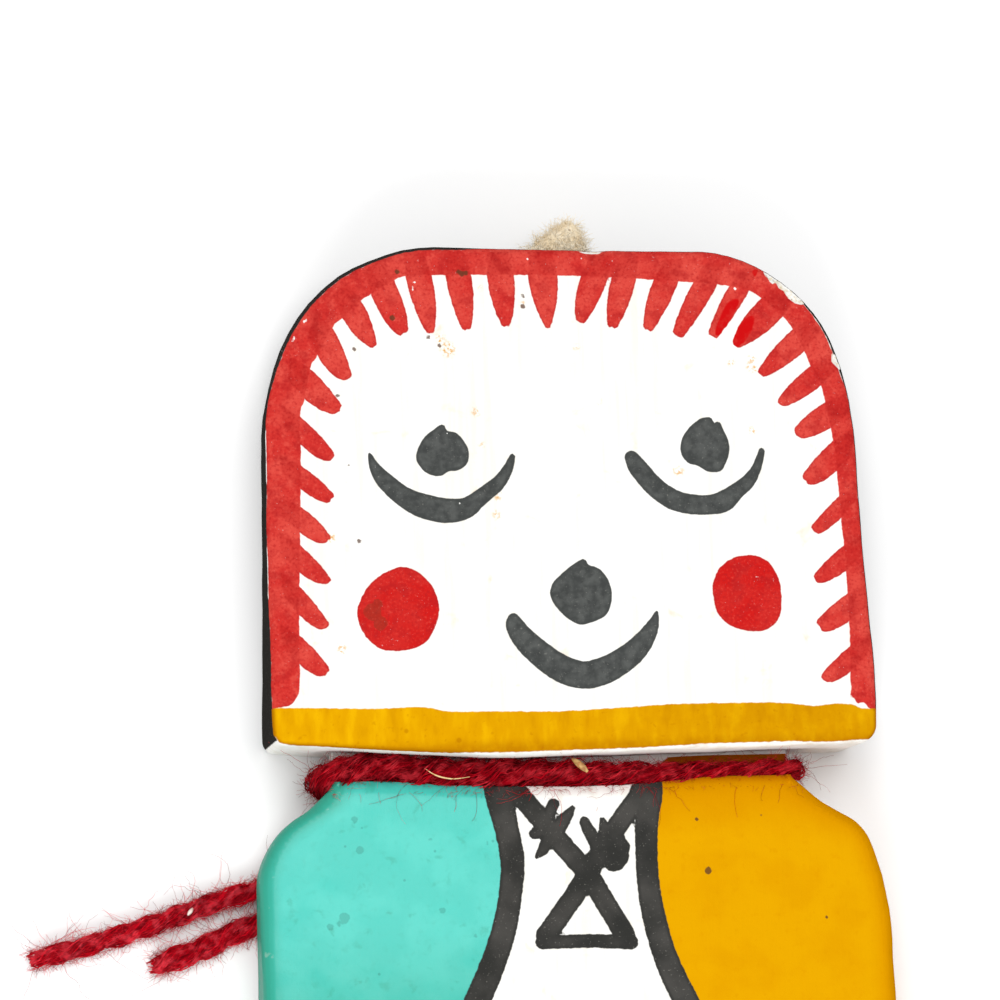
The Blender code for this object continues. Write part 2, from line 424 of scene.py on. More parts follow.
class NodeSheet:
    """Lays out the nodes of one material. Lengths in it are millimetres."""

    def __init__(self, name: str, roughness: float = 0.5, shine: float = 0.5) -> None:
        """Start a material with a shader and an output.

        Args:
            name: Name of the material.
            roughness: Roughness of its surface.
            shine: Strength of its plain reflection.
        """
        self.material = bpy.data.materials.new(name)
        self.material.use_nodes = True
        self.tree = self.material.node_tree
        self.shader = self.tree.nodes["Principled BSDF"]
        self.shader.inputs["Roughness"].default_value = roughness
        self.shader.inputs["Specular IOR Level"].default_value = shine
        metres = self.node("TexCoord", {}).outputs["Object"]
        scale = self.node("VectorMath", {0: metres, "Scale": 1.0 / MM}, operation="SCALE")
        self.place = scale.outputs["Vector"]
        parts = self.node("SeparateXYZ", {"Vector": self.place})
        self.across = parts.outputs["X"]
        self.height = parts.outputs["Y"]

    def feed(self, target: Socket, source: Source) -> None:
        """Link a socket to a target, or set the target to a number, colour or direction.

        Args:
            target: Input socket.
            source: Output socket, number, colour or direction.
        """
        if isinstance(source, bpy.types.NodeSocket):
            self.tree.links.new(source, target)
        elif isinstance(source, tuple) and len(target.default_value) == 4:
            target.default_value = (*source, 1.0)
        else:
            target.default_value = source

    def node(self, kind: str, inputs: dict[str | int, Source], **choices: str) -> bpy.types.Node:
        """Add a node, choose its settings and feed its inputs.

        Args:
            kind: Kind of node.
            inputs: What each input is fed with.
            choices: Settings of the node.

        Returns:
            The node.
        """
        node = self.tree.nodes.new(f"ShaderNode{kind}")
        for setting, choice in choices.items():
            setattr(node, setting, choice)
        for socket, source in inputs.items():
            self.feed(node.inputs[socket], source)
        return node

    def layer(self, layer: Layer) -> Socket:
        """Read one of the depths that are kept on the points."""
        return self.node("Attribute", {}, attribute_name=layer.value).outputs["Fac"]

    def strand(self) -> Socket:
        """Read a random number that differs from strand to strand."""
        return self.node("NewGeometry", {}).outputs["Random Per Island"]

    def sum(self, operation: str, a: Number, b: Number) -> Socket:
        """Work out a sum of two numbers."""
        return self.node("Math", {0: a, 1: b}, operation=operation).outputs[0]

    def plus(self, a: Number, b: Number) -> Socket:
        """Add two numbers."""
        return self.sum("ADD", a, b)

    def times(self, a: Number, b: Number) -> Socket:
        """Multiply two numbers."""
        return self.sum("MULTIPLY", a, b)

    def share(self, value: Number, low: float, high: float, to: tuple[float, float] = (0.0, 1.0)) -> Socket:
        """Turn a number into a share with soft ends, to[0] at low and to[1] at high."""
        inputs = {"Value": value, "From Min": low, "From Max": high, "To Min": to[0], "To Max": to[1]}
        return self.node("MapRange", inputs, interpolation_type="SMOOTHSTEP").outputs["Result"]

    def stretch(self, along: Place) -> Socket:
        """Scale the place along x, y and z before a pattern reads it."""
        return self.node("Mapping", {"Vector": self.place, "Scale": along}).outputs["Vector"]

    def noise(
        self, scale: float, detail: float = 2.0, place: Socket | None = None, wander: float = 0.0
    ) -> Socket:
        """Read a cloudy noise from 0 to 1, with scale clouds to the millimetre, bent by wander."""
        inputs = {"Vector": place or self.place, "Scale": scale, "Detail": detail, "Distortion": wander}
        return self.node("TexNoise", inputs).outputs["Fac"]

    def dots(self, scale: float, size: float, share: float, offset: float) -> Socket:
        """Scatter small dots in a few of the cells of a cellular pattern.

        Args:
            scale: Cells to the millimetre.
            size: Dot radius as a share of a cell.
            share: Share of the cells that have a dot.
            offset: Shift of the pattern, so that two of them differ.

        Returns:
            1 in the dots and 0 between them.
        """
        shifted = self.node("Mapping", {"Vector": self.place, "Location": (offset, offset, 0.0)})
        cells = self.node("TexVoronoi", {"Vector": shifted.outputs["Vector"], "Scale": scale})
        near = self.share(cells.outputs["Distance"], size, size * 0.5)
        parts = self.node("SeparateColor", {"Color": cells.outputs["Color"]})
        return self.times(near, self.sum("LESS_THAN", parts.outputs["Red"], share))

    def blend(self, amount: Number, a: Paint, b: Paint, kind: str = "MIX") -> Socket:
        """Blend two colours by the share of the second."""
        colours = {"Factor": amount, 6: a, 7: b}
        return self.node("Mix", colours, data_type="RGBA", blend_type=kind).outputs[2]

    def mix(self, amount: Number, a: Number, b: Number) -> Socket:
        """Blend two numbers by the share of the second."""
        return self.node("Mix", {"Factor": amount, 2: a, 3: b}).outputs[0]

    def veiled(self, colour: Paint, *veils: Veil) -> Socket:
        """Lay thin colours over a paint, one after another.

        Args:
            colour: Colour of the paint.
            veils: The thin colours.

        Returns:
            The colour with all of them on it.
        """
        for veil in veils:
            amount = self.share(veil.pattern, veil.start, veil.end, (0.0, veil.strength))
            if veil.within is not None:
                amount = self.times(amount, veil.within)
            colour = self.blend(amount, colour, veil.over)
        return colour

    def dress(self, colour: Socket, relief: Socket, depth: float) -> Material:
        """Give the surface its colour and raise and sink it.

        Args:
            colour: Its colour.
            relief: Height of the surface, from 0 to 1.
            depth: Millimetres that a height of 1 stands for.

        Returns:
            The material.
        """
        self.feed(self.shader.inputs["Base Color"], colour)
        bump = self.node("Bump", {"Distance": depth * MM, "Height": relief})
        self.feed(self.shader.inputs["Normal"], bump.outputs["Normal"])
        return self.material


# The carved and painted board


@dataclass(frozen=True)
class Board:
    """One flat board with rounded edges, lying on the ground plane. Sizes are millimetres."""

    name: str
    corners: tuple[tuple[float, float, float], ...]
    thickness: float
    rounding: float
    edge_segments: int = 4

    def saw(self) -> Piece:
        """Saw the board out: a flat outline, its corners rounded, then thickened and eased.

        Returns:
            The board.
        """
        board = flat_outline(self.name, [Vector((x * MM, y * MM, 0.0)) for x, y, _ in self.corners])
        self.round_corners(board)
        thicken((0.0, 0.0, self.thickness * MM))
        for height in (0.0, self.thickness):
            level = height * MM
            pick_edges(board, lambda a, b: abs(a.z - level) < 1e-6 and abs(b.z - level) < 1e-6)
            bpy.ops.mesh.bevel(
                offset=self.rounding * MM,
                offset_type="OFFSET",
                segments=self.edge_segments,
                profile=0.5,
            )
        bpy.ops.object.mode_set(mode="OBJECT")
        return board

    def round_corners(self, board: Piece) -> None:
        """Round every corner of the flat outline that has a radius.

        Args:
            board: The flat outline, in edit mode.
        """
        for index, (x, y, radius) in enumerate(self.corners):
            if radius == 0.0:
                continue
            corner = Vector((x, y))
            before = Vector(self.corners[index - 1][:2]) - corner
            after = Vector(self.corners[(index + 1) % len(self.corners)][:2]) - corner
            angle = before.angle(after)
            turn = 180.0 - math.degrees(angle)
            pick_corner(board, corner.to_3d() * MM)
            bpy.ops.mesh.bevel(
                offset=radius / math.tan(angle / 2) * MM,
                offset_type="OFFSET",
                segments=max(3, round(turn / ARC_STEP)),
                profile=0.5,
                affect="VERTICES",
            )


@dataclass(frozen=True)
class CrossCut:
    """A cut that runs right across the doll, given by its outline in a side view: y and z."""

    name: str
    profile: Knots
    width: float = 100.0

    def solid(self) -> Piece:
        """Make the solid that is cut away.

        Returns:
            The solid.
        """
        tool = flat_outline(self.name, [Vector((-self.width / 2, y, z)) * MM for y, z in self.profile])
        thicken((self.width * MM, 0.0, 0.0))
        bpy.ops.object.mode_set(mode="OBJECT")
        return tool


@dataclass(frozen=True)
class Grid:
    """A grid of cuts over part of the board, fine enough to carry its paint. Sizes are millimetres."""

    spacing: float
    left: float
    right: float
    bottom: float
    top: float

    def cut(self, shape: bmesh.types.BMesh, axis: int, wanted: Callable[[Vector, Vector], bool]) -> None:
        """Cut the faces that pass a test along the grid, each line only through what lies ahead of it.

        Args:
            shape: Mesh that is cut.
            axis: Axis that the lines lie across.
            wanted: Test of a face's middle, in metres, and of its normal.
        """
        start, end = ((self.left, self.right), (self.bottom, self.top))[axis]
        normal = Vector((axis == 0, axis == 1, 0.0))
        steps = round((end - start) / self.spacing)
        ahead = [face for face in shape.faces if wanted(face.calc_center_median(), face.normal)]
        for step in range(steps + 1):
            place = (start + (end - start) * step / steps) * MM
            parts = {part for face in ahead for part in (*face.verts, *face.edges)}
            cut = bmesh.ops.bisect_plane(
                shape, geom=[*ahead, *parts], dist=1e-7, plane_co=normal * place, plane_no=normal
            )
            faces = [part for part in cut["geom"] if isinstance(part, bmesh.types.BMFace)]
            ahead = [face for face in faces if face.calc_center_median()[axis] > place]


@dataclass(frozen=True)
class FringeStroke:
    """One painted lash of the fringe, drawn from the face's edge inwards. Places are millimetres."""

    root_a: tuple[float, float]
    root_b: tuple[float, float]
    tip: tuple[float, float]
    tip_width: float = 0.9
    belly: float = 2.3
    overlap: float = 2.9
    spread: float = 0.25
    flare: float = 0.3
    raggedness: float = 0.3
    steps: int = 9

    def outline(self) -> Array:
        """Draw the lash's outline, with a ragged tip.

        Returns:
            The points of its outline.
        """
        a, b, tip = (np.array(place) for place in (self.root_a, self.root_b, self.tip))
        reach = tip - (a + b) / 2
        along = reach / np.linalg.norm(reach)
        across = np.array([-along[1], along[0]])
        across *= math.copysign(1.0, np.dot(b - a, across))
        half_tip = across * (self.tip_width + self.spread) / 2
        shares = np.linspace(0.0, 1.0, self.steps)
        sides = []
        for root, end in ((a, tip - half_tip), (b, tip + half_tip)):
            narrowing = end - root - reach
            sides.append(root + np.outer(shares, reach) + np.outer(shares**self.belly, narrowing))
        draw = np.random.default_rng(round(abs(tip[0]) * 10) + round(tip[1] * 10))
        bristles = [
            tip + half_tip * (0.5 * step - 1.0) + along * draw.uniform(0.0, self.raggedness)
            for step in (0.9, 2.0, 3.1)
        ]
        out = -along * self.overlap
        flare = across * self.flare
        return np.vstack([a + out + flare, sides[0], bristles, sides[1][::-1], b + out - flare])


@dataclass(frozen=True)
class EdgePaint:
    """How far the red reaches over the head's rounded front edge, and where its black sides begin.

    Reaches are millimetres along the surface from where the rounding starts.
    """

    left: float = 0.98
    right: float = 0.84
    top: float = 0.97
    left_corner: float = 0.49
    right_corner: float = 0.5
    overlap: float = 0.07
    bare_strip: float = 0.33
    bare_strip_at_corner: float = 0.12
    bared_stretches: Knots = ((57.6, 58.6, 63.4, 64.6, 1.0), (44.4, 45.4, 50.2, 51.2, 0.7))

    def at_right_corner(self, x: Array, y: Array) -> Array:
        """Mark the places at the head's upper right corner by 1."""
        return ease(x, 24.5, 27.5) * ease(y, 68.0, 70.5)

    def red_reach(self, x: Array, y: Array) -> Array:
        """Work out how far the red reaches.

        Args:
            x: The places across the doll.
            y: The places along the doll.

        Returns:
            The reach at each place.
        """
        reach = np.where(x < 0.0, self.left, self.right)
        zones = (
            (self.top, ease(y, 80.0, 84.0)),
            (self.right_corner, self.at_right_corner(x, y)),
            (self.left_corner, ease(-x, 8.5, 13.0) * ease(y, 64.0, 72.0)),
        )
        for zone_reach, share in zones:
            reach = reach + (zone_reach - reach) * share
        return reach

    def black_start(self, x: Array, y: Array) -> Array:
        """Work out where the black begins, with strips of bare ground between it and the red.

        Args:
            x: The places across the doll.
            y: The places along the doll.

        Returns:
            The distance over the edge at each place.
        """
        bared = sum(
            strength * ease(y, start, full) * ease(y, end, fading)
            for start, full, fading, end, strength in self.bared_stretches
        )
        start = self.red_reach(x, y) - self.overlap + self.bare_strip * bared * (x < 0.0)
        return start + self.bare_strip_at_corner * self.at_right_corner(x, y)


@dataclass(frozen=True)
class FacePaint:
    """What is painted on the head's front. Places are millimetres on the doll."""

    band_inside: Knots = (
        (-31.0, 65.6), (-31.0, 60.0), (-31.3, 50.8), (-31.5, 44.0), (-31.6, 38.5), (-31.6, 35.2),
        (-31.9, 33.6), (-32.8, 32.5), (-34.6, 32.0), (-34.6, 29.4), (0.0, 28.0), (34.0, 29.0), (34.0, 31.0),
        (33.3, 31.7), (32.7, 31.5), (32.4, 32.2), (31.9, 32.3), (32.1, 33.4), (32.0, 34.2), (32.1, 38.2),
        (32.1, 44.3), (32.0, 48.5), (31.7, 52.8), (31.5, 57.0), (31.2, 61.5), (30.8, 64.2), (30.3, 67.1),
        (29.9, 68.9), (28.8, 71.1), (28.2, 72.7), (26.9, 75.4), (25.6, 77.2), (23.2, 79.3), (22.0, 80.1),
        (19.6, 80.7), (15.3, 81.1), (8.6, 81.6), (3.0, 81.9), (-4.0, 82.1), (-15.4, 82.1), (-18.5, 82.0),
        (-19.7, 81.6), (-22.5, 79.9), (-23.6, 79.2), (-26.0, 77.0), (-27.0, 76.1), (-28.9, 72.6),
        (-29.6, 71.5), (-30.4, 67.8),
    )
    lashes: tuple[FringeStroke, ...] = tuple(FringeStroke(*row) for row in (
        ((-31.5, 40.4), (-31.6, 37.1), (-28.6, 36.2), 0.9, 2.8),
        ((-31.5, 46.1), (-31.5, 42.7), (-28.6, 41.5), 0.9),
        ((-31.3, 50.8), (-31.5, 47.7), (-28.2, 46.6), 0.7),
        ((-31.1, 55.2), (-31.3, 52.2), (-28.1, 51.4), 0.8, 2.8),
        ((-31.0, 60.0), (-31.1, 57.2), (-27.6, 56.1), 0.9, 3.0),
        ((-30.9, 65.6), (-31.1, 62.5), (-27.5, 60.9), 0.9, 3.2),
        ((-30.4, 67.7), (-29.8, 71.3), (-26.6, 66.4), 1.1),
        ((-28.8, 72.6), (-27.1, 76.0), (-25.4, 70.1), 0.9),
        ((-25.9, 77.1), (-23.7, 79.2), (-22.3, 73.8), 0.6),
        ((-22.5, 79.8), (-19.8, 81.6), (-18.9, 75.4), 1.2, 3.0),
        ((-18.5, 82.0), (-15.4, 82.1), (-15.7, 75.4), 0.7),
        ((-13.8, 82.1), (-10.8, 82.1), (-11.5, 75.8), 0.8),
        ((-9.0, 82.1), (-5.8, 82.1), (-6.9, 76.1), 0.7),
        ((-4.2, 82.1), (-0.7, 82.1), (-2.0, 75.8), 0.3, 1.9),
        ((2.0, 81.9), (5.2, 81.7), (1.8, 76.6), 0.9),
        ((5.6, 81.7), (8.5, 81.4), (5.5, 75.9), 0.9),
        ((10.5, 81.4), (13.5, 81.2), (9.7, 75.6), 0.9),
        ((15.2, 81.1), (18.1, 80.8), (13.2, 74.9), 1.1),
        ((19.5, 80.7), (21.8, 80.0), (17.3, 74.8), 1.0),
        ((23.2, 79.2), (25.7, 77.0), (20.1, 73.8), 0.9, 2.8),
        ((26.8, 75.5), (28.1, 72.9), (22.9, 70.3), 0.9),
        ((28.7, 71.1), (29.9, 68.8), (25.1, 66.8), 0.9, 2.7),
        ((30.4, 66.9), (30.9, 63.8), (26.9, 63.2), 1.2),
        ((31.1, 62.3), (31.4, 58.7), (27.8, 57.7), 1.3),
        ((31.5, 55.7), (31.5, 53.0), (28.5, 51.8), 1.0),
        ((31.9, 50.0), (32.0, 47.0), (28.5, 46.1), 0.9),
        ((32.1, 44.4), (32.0, 41.0), (28.7, 40.6), 1.3),
        ((32.1, 38.2), (32.0, 35.2), (28.9, 34.5), 0.9),
    ))
    wet_drops: tuple[Knots, ...] = (
        ((22.3, 77.1), (22.0, 75.4), (21.0, 74.0), (19.6, 73.2), (19.0, 73.9), (20.2, 75.6), (21.2, 76.8)),
        ((20.7, 79.0), (19.6, 76.8), (18.7, 75.0), (17.6, 75.0), (18.4, 77.2), (19.4, 78.9)),
        ((22.3, 82.4), (22.9, 82.9), (23.5, 82.8), (23.1, 82.1), (22.6, 81.8)),
    )
    left_eye: Knots = (
        (-14.8, 64.6), (-14.3, 64.4), (-14.1, 63.9), (-13.0, 63.6), (-12.0, 62.4), (-11.6, 61.2),
        (-11.9, 60.0), (-12.8, 59.3), (-14.1, 59.1), (-14.7, 58.7), (-15.6, 58.6), (-16.9, 59.2),
        (-17.7, 60.4), (-17.6, 61.6), (-16.8, 63.1), (-15.7, 64.0),
    )
    right_eye: Knots = (
        (15.4, 65.0), (16.4, 65.2), (16.9, 65.0), (17.1, 64.5), (17.7, 64.7), (18.1, 63.9), (18.7, 62.4),
        (18.8, 61.3), (18.4, 59.9), (17.6, 58.8), (16.2, 58.8), (15.0, 59.5), (14.0, 59.8), (13.2, 60.7),
        (13.1, 62.2), (13.9, 63.7),
    )
    nose: Knots = (
        (1.2, 48.8), (1.6, 48.6), (1.9, 48.1), (3.0, 47.7), (3.9, 46.7), (4.4, 45.3), (4.4, 43.8),
        (3.9, 42.5), (3.0, 41.8), (1.9, 41.4), (0.6, 41.2), (-0.7, 41.9), (-1.9, 43.1), (-2.7, 44.6),
        (-2.4, 46.0), (-1.2, 47.2), (0.1, 48.2),
    )
    left_lid: Knots = (
        (-23.1, 61.2, 0.2), (-22.5, 59.6, 0.66), (-21.3, 58.0, 1.02), (-19.2, 56.2, 1.2),
        (-17.0, 55.15, 1.43), (-14.5, 54.6, 1.45), (-12.3, 54.8, 1.25), (-10.8, 55.8, 1.0),
        (-9.6, 56.7, 0.92), (-8.25, 57.8, 0.82), (-7.2, 59.3, 0.62), (-6.6, 60.8, 0.36),
    )
    right_lid: Knots = (
        (7.3, 60.5, 0.85), (7.9, 59.5, 1.1), (8.5, 58.7, 1.14), (10.0, 57.0, 1.17), (12.0, 55.6, 1.2),
        (14.2, 55.0, 1.18), (16.4, 54.95, 1.16), (18.0, 55.35, 1.25), (19.4, 56.45, 0.95),
        (20.7, 57.45, 0.84), (21.6, 58.6, 0.66), (22.3, 60.1, 0.48), (22.6, 61.2, 0.36),
    )
    mouth: Knots = (
        (-7.0, 41.9, 0.75), (-6.8, 41.1, 1.1), (-5.8, 39.6, 1.35), (-3.8, 37.7, 1.52), (-1.6, 36.15, 1.6),
        (0.8, 35.4, 1.6), (2.8, 35.7, 1.58), (4.8, 36.6, 1.5), (6.7, 37.9, 1.38), (8.1, 39.4, 1.12),
        (9.1, 41.0, 0.72), (9.6, 42.5, 0.2),
    )
    left_cheek: Knots = (
        (-20.1, 48.1), (-22.4, 47.1), (-23.8, 45.7), (-24.8, 43.8), (-24.9, 42.1), (-24.1, 40.3),
        (-22.6, 38.9), (-20.7, 38.5), (-18.4, 38.8), (-16.9, 39.7), (-15.9, 41.6), (-15.5, 43.4),
        (-16.0, 45.4), (-17.1, 46.9), (-18.5, 47.9),
    )
    right_cheek: Knots = (
        (20.4, 49.0), (18.6, 48.6), (17.1, 47.5), (16.3, 45.8), (16.3, 44.2), (16.7, 42.4), (17.9, 41.0),
        (19.6, 40.3), (21.6, 40.1), (23.2, 40.8), (24.1, 42.1), (24.3, 44.6), (24.0, 46.3), (23.1, 48.0),
        (21.8, 48.8),
    )
    chin: Knots = (
        (-35.6, 32.0), (-33.0, 32.2), (-28.0, 32.1), (-23.2, 31.95), (-19.0, 32.1), (-16.8, 31.95),
        (-14.6, 31.5), (-8.0, 31.4), (-1.9, 31.3), (5.0, 31.6), (12.4, 31.9), (21.3, 31.9), (25.0, 31.75),
        (27.7, 31.4), (30.1, 31.6), (32.4, 31.4), (33.2, 31.0), (36.0, 30.6), (36.0, 27.75), (32.6, 27.35),
        (28.5, 27.2), (24.0, 27.35), (20.2, 27.3), (14.2, 27.25), (9.5, 27.0), (-2.9, 26.8), (-14.7, 26.8),
        (-22.7, 27.15), (-29.5, 27.7), (-33.6, 28.1), (-34.5, 28.9), (-35.3, 29.8),
    )
    chips: tuple[Knots, ...] = (
        ((1.4, 85.3), (2.4, 84.8), (3.3, 84.65), (4.2, 84.7), (5.3, 85.2), (5.3, 86.2), (1.4, 86.2)),
        (
            (23.7, 82.9), (25.6, 81.7), (27.0, 80.5), (28.0, 79.5), (28.8, 78.8), (28.1, 78.5),
            (27.3, 78.6), (26.5, 79.2), (26.0, 80.1), (25.4, 80.5), (25.2, 81.3), (24.6, 80.9),
            (24.2, 81.6), (23.8, 82.1),
        ),
        ((31.3, 72.6), (32.0, 72.5), (32.6, 71.0), (32.2, 70.7), (31.8, 71.1), (31.3, 71.6)),
    )
    dark_specks: Knots = (
        (-19.4, 82.5, 0.24), (-20.1, 77.1, 0.28), (-24.6, 73.5, 0.22), (-26.6, 68.1, 0.22),
        (-16.0, 74.8, 0.22), (-24.5, 51.2, 0.22), (-4.8, 79.6, 0.2), (-4.9, 78.4, 0.22), (-14.7, 73.8, 0.2),
        (-11.9, 82.3, 0.28), (-11.4, 82.35, 0.24), (-12.3, 82.45, 0.2), (-25.6, 60.0, 0.12),
        (-23.2, 43.0, 0.95), (-22.6, 43.9, 0.5), (-22.3, 41.7, 0.75),
    )
    bare_dots: Knots = (
        (-4.2, 84.0, 0.14), (2.2, 84.1, 0.16), (20.2, 80.4, 0.19), (5.8, 83.8, 0.12), (-22.5, 59.8, 0.15),
        (-12.8, 55.4, 0.14), (21.5, 46.5, 0.16), (-14.1, 63.6, 0.1), (-31.5, 74.8, 0.17),
        (-31.7, 74.5, 0.14), (-30.3, 76.7, 0.17), (-30.0, 76.9, 0.12), (-17.6, 80.4, 0.14),
        (-17.6, 80.8, 0.14), (-17.8, 81.2, 0.12), (-17.4, 81.3, 0.11), (-2.1, 83.3, 0.1), (9.0, 83.6, 0.1),
    )
    tan_stains: Knots = (
        (-4.9, 78.8, 0.25), (-9.8, 80.6, 0.2), (1.2, 73.6, 0.25), (3.7, 67.1, 0.2), (-13.8, 73.4, 0.8),
        (-14.6, 74.6, 0.5), (21.8, 71.0, 0.6), (21.8, 72.0, 0.4), (19.5, 71.6, 0.35), (-27.7, 51.6, 0.45),
        (-26.8, 38.9, 0.5), (21.6, 63.6, 0.35), (-10.1, 62.2, 0.25), (12.7, 58.9, 0.5), (-8.4, 56.2, 0.4),
        (-8.6, 54.0, 0.35), (-10.7, 66.0, 0.4), (30.8, 35.6, 0.3),
    )
    band_foot: float = 30.5
    black_foot: float = 28.5
    chin_reach: float = 1.1
    chip_reach: float = 0.95
    front_reach: float = 0.3
    edge: EdgePaint = EdgePaint()

    def layers(self, places: Array, past_edge: Array) -> dict[Layer, Array]:
        """Work out the paint and wear on the head.

        Args:
            places: The doll's points.
            past_edge: How far each lies over the board's front edge.

        Returns:
            The depth of each point in each layer.
        """
        x, y, _ = places.T
        plane = places[:, :2]
        red_reach = self.edge.red_reach(x, y)
        band = np.minimum(-in_loops([self.band_inside], plane, 4), red_reach - past_edge)
        lashes = np.max([depth_in_loop(lash.outline(), plane) for lash in self.lashes], axis=0)
        chips = np.max([depth_in_loop(np.array(loop), plane) for loop in self.chips], axis=0)
        marks = np.maximum(
            in_loops((self.left_eye, self.right_eye, self.nose), plane),
            in_strokes((self.left_lid, self.right_lid, self.mouth), plane),
        )
        front_only = {
            Layer.CHEEKS: in_loops((self.left_cheek, self.right_cheek), plane),
            Layer.FACE_BLACK: marks,
            Layer.TAN_STAINS: in_spots(self.tan_stains, plane),
            Layer.DARK_SPECKS: in_spots(self.dark_specks, plane),
            Layer.BARE_DOTS: in_spots(self.bare_dots, plane),
        }
        over_edge = {
            Layer.RED_BAND: np.minimum(band, y - self.band_foot),
            Layer.RED_STROKES: np.minimum(lashes, red_reach - past_edge),
            Layer.WET_RED: in_loops(self.wet_drops, plane),
            Layer.EDGE_BLACK: np.minimum(past_edge - self.edge.black_start(x, y), y - self.black_foot),
            Layer.CHIN_YELLOW: np.minimum(in_loops([self.chin], plane, 4), self.chin_reach - past_edge),
            Layer.CHIPS: np.minimum(chips, self.chip_reach - past_edge),
        }
        on_front = self.front_reach - past_edge
        return over_edge | {layer: np.minimum(depth, on_front) for layer, depth in front_only.items()}


